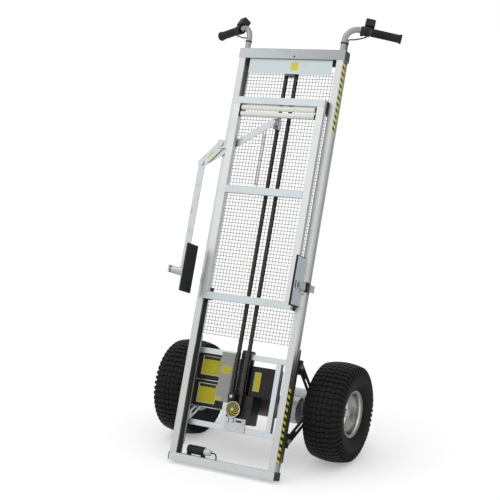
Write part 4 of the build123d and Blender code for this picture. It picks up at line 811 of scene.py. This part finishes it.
def spring_line():
    """Centre line: a straight tail, the coils and another tail."""
    low, high = SPRING_FOOT + TAIL, SPRING_HEAD - TAIL
    points = [(SPRING_X, SPRING_Y, SPRING_FOOT), (SPRING_X, SPRING_Y, low - TAIL_BEND)]
    steps = COILS * COIL_STEPS
    for k in range(steps + 1):
        a = 2 * math.pi * k / COIL_STEPS
        points.append((SPRING_X + COIL_R * math.cos(a), SPRING_Y + COIL_R * math.sin(a),
                       low + (high - low) * k / steps))
    return points + [(SPRING_X, SPRING_Y, high + TAIL_BEND), (SPRING_X, SPRING_Y, SPRING_HEAD)]


spring = bpy.data.meshes.new("coil_spring")
spring_points, spring_faces = tube(spring_line(), SPRING_WIRE, 7)
spring.from_pydata([mast(*p) for p in spring_points], [], spring_faces)
ends = mast(SPRING_X, SPRING_Y, SPRING_FOOT), mast(SPRING_X, SPRING_Y, SPRING_HEAD)
between = ("carriage", "slider", *ends)
coil = settle("coil_spring", spring, spring_steel, between, ["clamp_spring"], 60)
print(coil.name, COILS, "turns")

# %% [markdown]
# Grips, cables and control boxes share the handle's slanted direction. The corner of the bent
# tube and two directions, along the grip and up from it, place the grips and the cables; the left
# side is the right side mirrored.

# %% Grips and cables
CORNER = Vector((196.0, 19.0, 1642.0))
TURN_BACK, FALL, BOX_TILT = math.radians(27.8), math.radians(3.1), math.radians(31.0)
ALONG = Vector((math.cos(TURN_BACK) * math.cos(FALL), math.sin(TURN_BACK) * math.cos(FALL), -math.sin(FALL)))
LEANING = Vector((0.0, math.sin(BOX_TILT), math.cos(BOX_TILT)))
UPWARD = (LEANING - ALONG * LEANING.dot(ALONG)).normalized()
GRIP_START, GRIP_END, GRIP_BORE, GRIP_R = 89.5, 203.5, 11.1, 15.4
GRIP_RIBS, RIB_PITCH, RIB_FOOT_R = 13, 7.0, 14.5
HANDLE_R, CABLE_R, CABLE_GAP, CABLE_DROP = 11.0, 2.5, 0.5, 10.0
BOX_AT, BOX_BELOW = 76.0, 18.0
TIE_TOP = 27.0


def mirrored(shape):
    """The same shape on the left side."""
    return [(-p[0], p[1], p[2]) for p in shape[0]], [tuple(reversed(f)) for f in shape[1]]


def grip_outline():
    """Ribbed sleeve with a thick end, as (along, radius)."""
    line = [(GRIP_START, GRIP_BORE), (GRIP_START, 14.2), (GRIP_START + 1.5, GRIP_R),
            (GRIP_START + 9.0, GRIP_R)]
    for k in range(GRIP_RIBS):
        at = GRIP_START + 10.0 + k * RIB_PITCH
        line += [(at, GRIP_R), (at + 1.1, RIB_FOOT_R), (at + 2.2, RIB_FOOT_R), (at + 3.3, GRIP_R)]
    line += [(GRIP_END - 8.0, GRIP_R), (GRIP_END - 6.4, 17.4), (GRIP_END - 5.0, 18.0),
             (GRIP_END - 2.0, 18.0), (GRIP_END - 0.6, 17.2), (GRIP_END, 15.0), (GRIP_END, 0.0),
             (GRIP_END - 4.0, 0.0), (GRIP_END - 4.0, GRIP_BORE)]
    return line


right_grip = lathe(grip_outline(), CORNER, ALONG, 40)
both = merged(right_grip, mirrored(right_grip))
piece("ribbed_grips", both, rubber, "chassis", ["handle_grips"], 30)


def smooth_line(points, steps=10):
    """A smooth curve through points; the neighbours of each give its direction there."""
    points = [Vector(p) for p in points]
    points = [points[0] * 2 - points[1]] + points + [points[-1] * 2 - points[-2]]
    line = []
    for a, b, c, d in zip(points, points[1:], points[2:], points[3:]):
        for k in range(steps):
            t = k / steps
            line.append(0.5 * (2 * b + (c - a) * t + (2 * a - 5 * b + 4 * c - d) * t ** 2
                               + (3 * b - a - 3 * c + d) * t ** 3))
    return line + [points[-2]]


def handle_cable():
    """From under the control box, in a slack curve, to the tie and into the crossbar."""
    beside = HANDLE_R + CABLE_R + CABLE_GAP
    foot = Vector((CORNER.x + beside * math.cos(TURN_BACK), CORNER.y + beside * math.sin(TURN_BACK), 0.0))
    leave = CORNER + ALONG * BOX_AT - UPWARD * BOX_BELOW
    drop = leave - UPWARD * CABLE_DROP
    bend = CROSSBAR_TOP + TIE_TOP + CABLE_DROP
    shoulder = foot + Vector((CABLE_R, CABLE_R, bend + CABLE_DROP))
    sag = Vector((0, 0, CABLE_R))
    points = [leave, drop, drop * 0.72 + shoulder * 0.28 - sag, drop * 0.3 + shoulder * 0.7 - sag, shoulder,
              foot + Vector((0, 0, bend)), foot + Vector((0, 0, CROSSBAR_TOP))]
    return smooth_line(points)


def switch_cable():
    """From the switch's cap down into the foot bar."""
    return smooth_line([(-59, 30, 49), (-50, 30, 49), (-41.5, 30, 45.5), (-37.5, 30, 37), (-37, 30, 28)])


right_cable = tube(handle_cable(), CABLE_R, 12)
cables = merged(right_cable, mirrored(right_cable), tube(switch_cable(), CABLE_R, 12))
piece("control_cable_runs", cables, cable_skin, "chassis", ["control_cables"], 60)
print("grips and cables made")

# %% [markdown]
# Four turned parts: the lift's motor with its end caps, the wheels' drive motor, the fluted release
# knob and the switch on the foot bar. They are lathe outlines too; the knob's flutes come from
# pushing its outline in around the edge.

# %% Motor, knob and switch
MOTOR_LINE = [(272.2, 0.0), (272.2, 25.0), (280.0, 25.0), (280.8, 23.8), (282.4, 23.8), (283.2, 25.0),
              (404.0, 25.0), (404.8, 23.8), (406.4, 23.8), (407.2, 25.0), (426.0, 25.0), (430.0, 23.6),
              (432.0, 20.0), (432.0, 0.0)]
MOTOR_AXIS = (0, 74.0, 0)
motor = lathe(MOTOR_LINE, MOTOR_AXIS, (0, 0, 1), 56, closed=False)
piece("lift_motor_turned", motor, gloss_black, "chassis", ["lift_motor"], 30)

DRIVE_LINE = [(-12.0, 0.0), (-12.0, 36.0), (-10.0, 40.0), (-6.0, 42.0), (10.0, 42.0), (11.0, 40.6),
              (13.0, 40.6), (14.0, 42.0), (96.0, 42.0), (97.0, 40.6), (99.0, 40.6), (100.0, 42.0),
              (117.8, 42.0), (117.8, 0.0)]
DRIVE_AXIS = (0, 185.0, 250.73)
drive = lathe(DRIVE_LINE, DRIVE_AXIS, (1, 0, 0), 56, closed=False)
piece("drive_motor_turned", drive, motor_grey, "chassis", ["drive_motor"], 30)

KNOB_AXIS = (-8.0, 0, 260.6)
KNOB_LINE = [(23.0, 0.0), (23.0, 13.2), (21.5, 15.0), (10.0, 15.0), (8.4, 13.4), (8.0, 9.0), (8.0, 0.0)]
KNOB_SHAFT = [(23.0, 4.0), (56.0, 4.0)]
KNOB_CENTRE = [(8.0, 6.0), (5.8, 6.0), (5.0, 5.0), (5.0, 0.0)]
FLUTES, FLUTE_DEPTH = 12, 0.9


def fluted_knob(steps=72):
    """Round knob with flutes round its edge, on its shaft."""
    loops = []
    for y, r in KNOB_LINE:
        loop = []
        for k in range(steps):
            a = 2 * math.pi * k / steps
            radius = r - (FLUTE_DEPTH * max(0.0, math.cos(FLUTES * a)) if r > 12 else 0.0)
            loop.append((KNOB_AXIS[0] + radius * math.cos(a), y, KNOB_AXIS[2] + radius * math.sin(a)))
        loops.append(loop)
    return merged(stitch(loops), lathe(KNOB_SHAFT, KNOB_AXIS, (0, 1, 0), 16, False))


piece("fluted_release_knob", fluted_knob(), plastic, "knob", ["release_knob"], 40)
cap = lathe(KNOB_CENTRE, KNOB_AXIS, (0, 1, 0), 24, False)
piece("knob_centre", cap, zinc, "knob", ())

SWITCH_AXIS = (0, 30, 49)
SWITCH_LINE = [(-155.0, 0.0), (-155.0, 13.0), (-152.5, 16.0), (-140.0, 16.0), (-139.0, 15.0),
               (-137.0, 15.0), (-136.0, 16.0), (-98.0, 16.0), (-97.0, 15.0), (-95.0, 15.0), (-94.0, 16.0),
               (-86.5, 16.0), (-85.0, 14.5), (-85.0, 0.0)]
CAP_LINE = [(-84.9, 0.0), (-84.9, 13.0), (-80.0, 13.0), (-79.0, 12.0), (-64.0, 12.0), (-61.0, 10.0),
            (-59.0, 6.0), (-59.0, 0.0)]
FEET_AT, FOOT_LONG, FOOT_Y, FOOT_Z = (-155.0, -97.0), 12.0, (22.0, 38.0), (28.0, 46.0)
feet = [slab(x, x + FOOT_LONG, *FOOT_Y, *FOOT_Z) for x in FEET_AT]
switch = merged(lathe(SWITCH_LINE, SWITCH_AXIS, (1, 0, 0), 40, False), *feet)
piece("limit_switch_body", switch, plastic, "chassis", ["limit_switch"], 30)
cap = lathe(CAP_LINE, SWITCH_AXIS, (1, 0, 0), 40, False)
piece("limit_switch_cap", cap, white_cap, "chassis", ())
print("turned parts made")

# %% [markdown]
# Two more turned pieces: the cream tubes across the carriage with their black end rings, and the
# ribs that stiffen the end of the cast axle case. Ribs and rings are small, but they catch the
# light, and without them the case looks like a plain drum.

# %% Carriage tubes and case ribs
TUBE_HALF, TUBE_BORE, TUBE_R = 156.5, 8.0, 9.5
TUBE_Y, TUBE_HEIGHTS = -22.0, (1314.0, 1290.0)
RING_LONG, RING_BORE, RING_R, RING_ROUND = 6.0, 9.6, 11.5, 0.6
tubes, rings = [], []
for z in TUBE_HEIGHTS:
    hollow = [(-TUBE_HALF, TUBE_BORE), (-TUBE_HALF, TUBE_R), (TUBE_HALF, TUBE_R), (TUBE_HALF, TUBE_BORE)]
    tubes.append(lathe(hollow, (0, TUBE_Y, z), (1, 0, 0), 32))
    for end in (-TUBE_HALF, TUBE_HALF - RING_LONG):
        far, low = end + RING_LONG, RING_R - RING_ROUND
        band = [(end, RING_BORE), (end, low), (end + RING_ROUND, RING_R), (far - RING_ROUND, RING_R),
                (far, low), (far, RING_BORE)]
        rings.append(lathe(band, (0, TUBE_Y, z), (1, 0, 0), 32))
piece("cream_tubes", merged(*tubes), cream_paint, "carriage", ["carriage_tubes"], 30)
piece("tube_end_rings", merged(*rings), rubber, "carriage", (), 30)

CASE_END = 190.0
AXLE = Vector((0, WHEEL_MIDDLE.y, WHEEL_MIDDLE.z))
RIBS = 10
collar = [(CASE_END, 17.2), (CASE_END + 9.0, 17.2), (CASE_END + 9.0, 27.0), (CASE_END + 3.0, 30.0),
          (CASE_END, 30.0)]
rim_ring = [(CASE_END, 52.0), (CASE_END + 3.0, 52.0), (CASE_END + 4.0, 54.0), (CASE_END + 4.0, 60.0),
            (CASE_END + 3.0, 61.6), (CASE_END, 61.6)]
case = [lathe(line, AXLE, (1, 0, 0), 48) for line in (collar, rim_ring)]
foot = [(CASE_END, -2.2, 26.0), (CASE_END, 2.2, 26.0), (CASE_END, 2.2, 56.0), (CASE_END, -2.2, 56.0)]
crest = [(CASE_END + 8.0, -1.6, 26.0), (CASE_END + 8.0, 1.6, 26.0), (CASE_END + 3.8, 1.6, 55.0),
         (CASE_END + 3.8, -1.6, 55.0)]
for k in range(RIBS):
    turn = Matrix.Rotation(2 * math.pi * k / RIBS, 3, "X")
    rib = [[turn @ Vector(corner) + AXLE for corner in end] for end in (foot, crest)]
    case.append(stitch(rib, caps=True))
piece("axle_case_ribs", merged(*case), cast_metal, "chassis", (), 30)
print("tubes, rings and ribs made")

# %% [markdown]
# Tape and labels are films a fraction of a millimetre thick. Painting them into the metal's finish
# would tie the two together, so each is a thin plate of its own, on the surface that carries it.

# %% Tape and plain labels
WEB_FACE, TAPE_FRONT, TAPE_BACK, TAPE_THICK = 208.0, 6.0, 35.0, 0.3
EDGE_FRONT, LABEL_FRONT, BAND_FRONT, FILM_THICK = 0.25, 0.4, 0.55, 0.2
for word, low_z, high_z in (("upper", 1250.0, 1509.0), ("lower", 58.0, 322.0)):
    strip = slab(WEB_FACE, WEB_FACE + TAPE_THICK, TAPE_FRONT, TAPE_BACK, low_z, high_z)
    piece(f"hazard_tape_{word}", strip, tape, "chassis", ())


def film_on_front(name, x0, x1, z0, z1, y, film, edge=1.5, band=0.0):
    """A yellow label with a pale edge, and a plain dark band if asked, on a face that looks forward."""
    outer = slab(x0, x1, y - EDGE_FRONT, y, z0, z1)
    piece(name + "_edge", outer, edge_film, "chassis", ())
    front = y - LABEL_FRONT
    inner = slab(x0 + edge, x1 - edge, front, front + FILM_THICK, z0 + edge, z1 - edge)
    piece(name, inner, film, "chassis", ())
    if band:
        front, top = y - BAND_FRONT, z1 - 2 * edge
        strip = slab(x0 + 3 * edge, x1 - 3 * edge, front, front + FILM_THICK, top - band, top)
        piece(name + "_band", strip, ink_film, "chassis", ())


film_on_front("panel_label", 3.0, 33.0, 1470.0, 1501.0, 8.0, yellow_film, edge=0.8)
film_on_front("battery_label_upper", -178.0, -102.0, 322.0, 392.0, 65.0, deep_film, band=10.0)
film_on_front("battery_label_lower", -178.0, -102.0, 220.0, 292.0, 65.0, deep_film, band=10.0)
film_on_front("box_label", -80.0, -44.0, 338.0, 366.0, 40.5, deep_film, edge=0.6)
film_on_front("box_strip", -89.0, -64.0, 240.0, 250.0, 40.5, deep_film, edge=0.6)
film_on_front("controller_label", 50.0, 76.0, 292.0, 360.0, 50.0, deep_film, edge=0.8)


def arm_label(middle=(-256.4, 1128.6), along=(-0.673, -0.740), length=32.0, width=6.0, y=-11.5):
    """A yellow strip along the clamp's arm."""
    along = Vector((along[0], 0, along[1])) * (length / 2)
    aside = Vector((along.z, 0, -along.x)).normalized() * (width / 2)
    corners = [along + aside, along - aside, -along - aside, aside - along]
    at, lift = Vector((middle[0], y, middle[1])), Vector((0, TAPE_THICK, 0))
    return stitch([[at + c for c in corners], [at + c - lift for c in corners]], caps=True)


piece("arm_label", arm_label(), yellow_film, "arm", ())
print("labels made")

# %% [markdown]
# The truck stands in a white studio. The floor is pale and shows soft shadows. The world is white
# where the camera or a mirror-like surface sees it, and dimmer for matt surfaces, so that the lamps
# shape the object and colours come out as they are written. The floor gets a little glow for the
# same rays, because a lit floor alone never quite reaches the white behind it.

# %% Floor, world and lamps
MATT_LIGHT, SEEN_LIGHT = 0.66, 1.0
FLOOR_HALF, FLOOR_GLOW = 60, 0.30


def white_studio():
    """White to the eye and to mirrors, dimmer as a source of light."""
    world = bpy.data.worlds.new("white studio")
    bpy.context.scene.world = world
    world.use_nodes = True
    nodes, links = world.node_tree.nodes, world.node_tree.links
    seen = nodes.new("ShaderNodeLightPath")
    eye_or_mirror = nodes.new("ShaderNodeMath")
    eye_or_mirror.operation = "MAXIMUM"
    links.new(seen.outputs["Is Camera Ray"], eye_or_mirror.inputs[0])
    links.new(seen.outputs["Is Glossy Ray"], eye_or_mirror.inputs[1])
    any_ray = nodes.new("ShaderNodeMath")
    any_ray.operation = "MAXIMUM"
    links.new(eye_or_mirror.outputs[0], any_ray.inputs[0])
    links.new(seen.outputs["Is Transmission Ray"], any_ray.inputs[1])
    level = nodes.new("ShaderNodeMapRange")
    level.inputs["To Min"].default_value = MATT_LIGHT
    level.inputs["To Max"].default_value = SEEN_LIGHT
    links.new(any_ray.outputs[0], level.inputs["Value"])
    links.new(level.outputs[0], nodes["Background"].inputs["Strength"])
    nodes["Background"].inputs["Color"].default_value = (1, 1, 1, 1)


def pale_floor():
    """A wide pale floor that keeps the truck's shadow."""
    mesh = bpy.data.meshes.new("floor")
    signs = [(-1, -1), (1, -1), (1, 1), (-1, 1)]
    mesh.from_pydata([(i * FLOOR_HALF, j * FLOOR_HALF, 0) for i, j in signs], [], [(0, 1, 2, 3)])
    floor = bpy.data.objects.new("floor", mesh)
    bpy.context.scene.collection.objects.link(floor)
    finish = Finish("pale floor", Base_Color=(0.86, 0.86, 0.86, 1), Roughness=0.9, Specular_IOR_Level=0.1)
    kinds = ("Is Camera Ray", "Is Glossy Ray", "Is Transmission Ray")
    rays = [finish.node("ShaderNodeLightPath", out=kind) for kind in kinds]
    seen = (rays[0] + rays[1] + rays[2]) > 0.5
    glow = finish.mix(seen, (0, 0, 0, 1), (FLOOR_GLOW, FLOOR_GLOW, FLOOR_GLOW, 1))
    finish.feed(Emission_Color=glow, Emission_Strength=1.0)
    mesh.materials.append(finish.material)


def soft_lamp(name, place, strength, spread):
    """A wide far lamp that shines from a place towards the truck, evenly over the floor."""
    lamp = bpy.data.lights.new(name, "SUN")
    lamp.energy, lamp.angle = strength, math.radians(spread)
    made = bpy.data.objects.new(name, lamp)
    made.location = place
    made.rotation_euler = (-Vector(place)).to_track_quat("-Z", "Y").to_euler()
    bpy.context.scene.collection.objects.link(made)


white_studio()
pale_floor()
soft_lamp("key lamp", place=(-2.0, -3.0, 5.0), strength=0.70, spread=70)
soft_lamp("side lamp", place=(4.2, -1.6, 3.4), strength=0.25, spread=80)
print("studio lit")

# %% [markdown]
# The camera stands where the photographer stood: 28.5 degrees round to the right of the front, and
# looking 11.8 degrees down. Those angles, the distance and the lens were solved from edges of
# known size, in a square picture of 500 by 500 pixels.

# %% Camera
FOCAL_PIXELS, PICTURE_PIXELS, SENSOR = 1206.84, 500, 36.0
CAMERA_PLACE = (2.0106, -3.8306, 1.6447)
LOOK_DOWN, ROUND_RIGHT = 11.76, 28.48
camera = bpy.data.objects.new("camera", bpy.data.cameras.new("camera"))
camera.data.sensor_width = SENSOR
camera.data.lens = FOCAL_PIXELS / PICTURE_PIXELS * SENSOR
camera.location = CAMERA_PLACE
camera.rotation_euler = (math.radians(90 - LOOK_DOWN), 0.0, math.radians(ROUND_RIGHT))
bpy.context.scene.collection.objects.link(camera)
bpy.context.scene.camera = camera
bpy.context.scene.view_settings.view_transform = "Standard"
print("camera lens", round(camera.data.lens, 1), "mm")

# %% Pieces made
print("pieces made:", len(made_pieces))
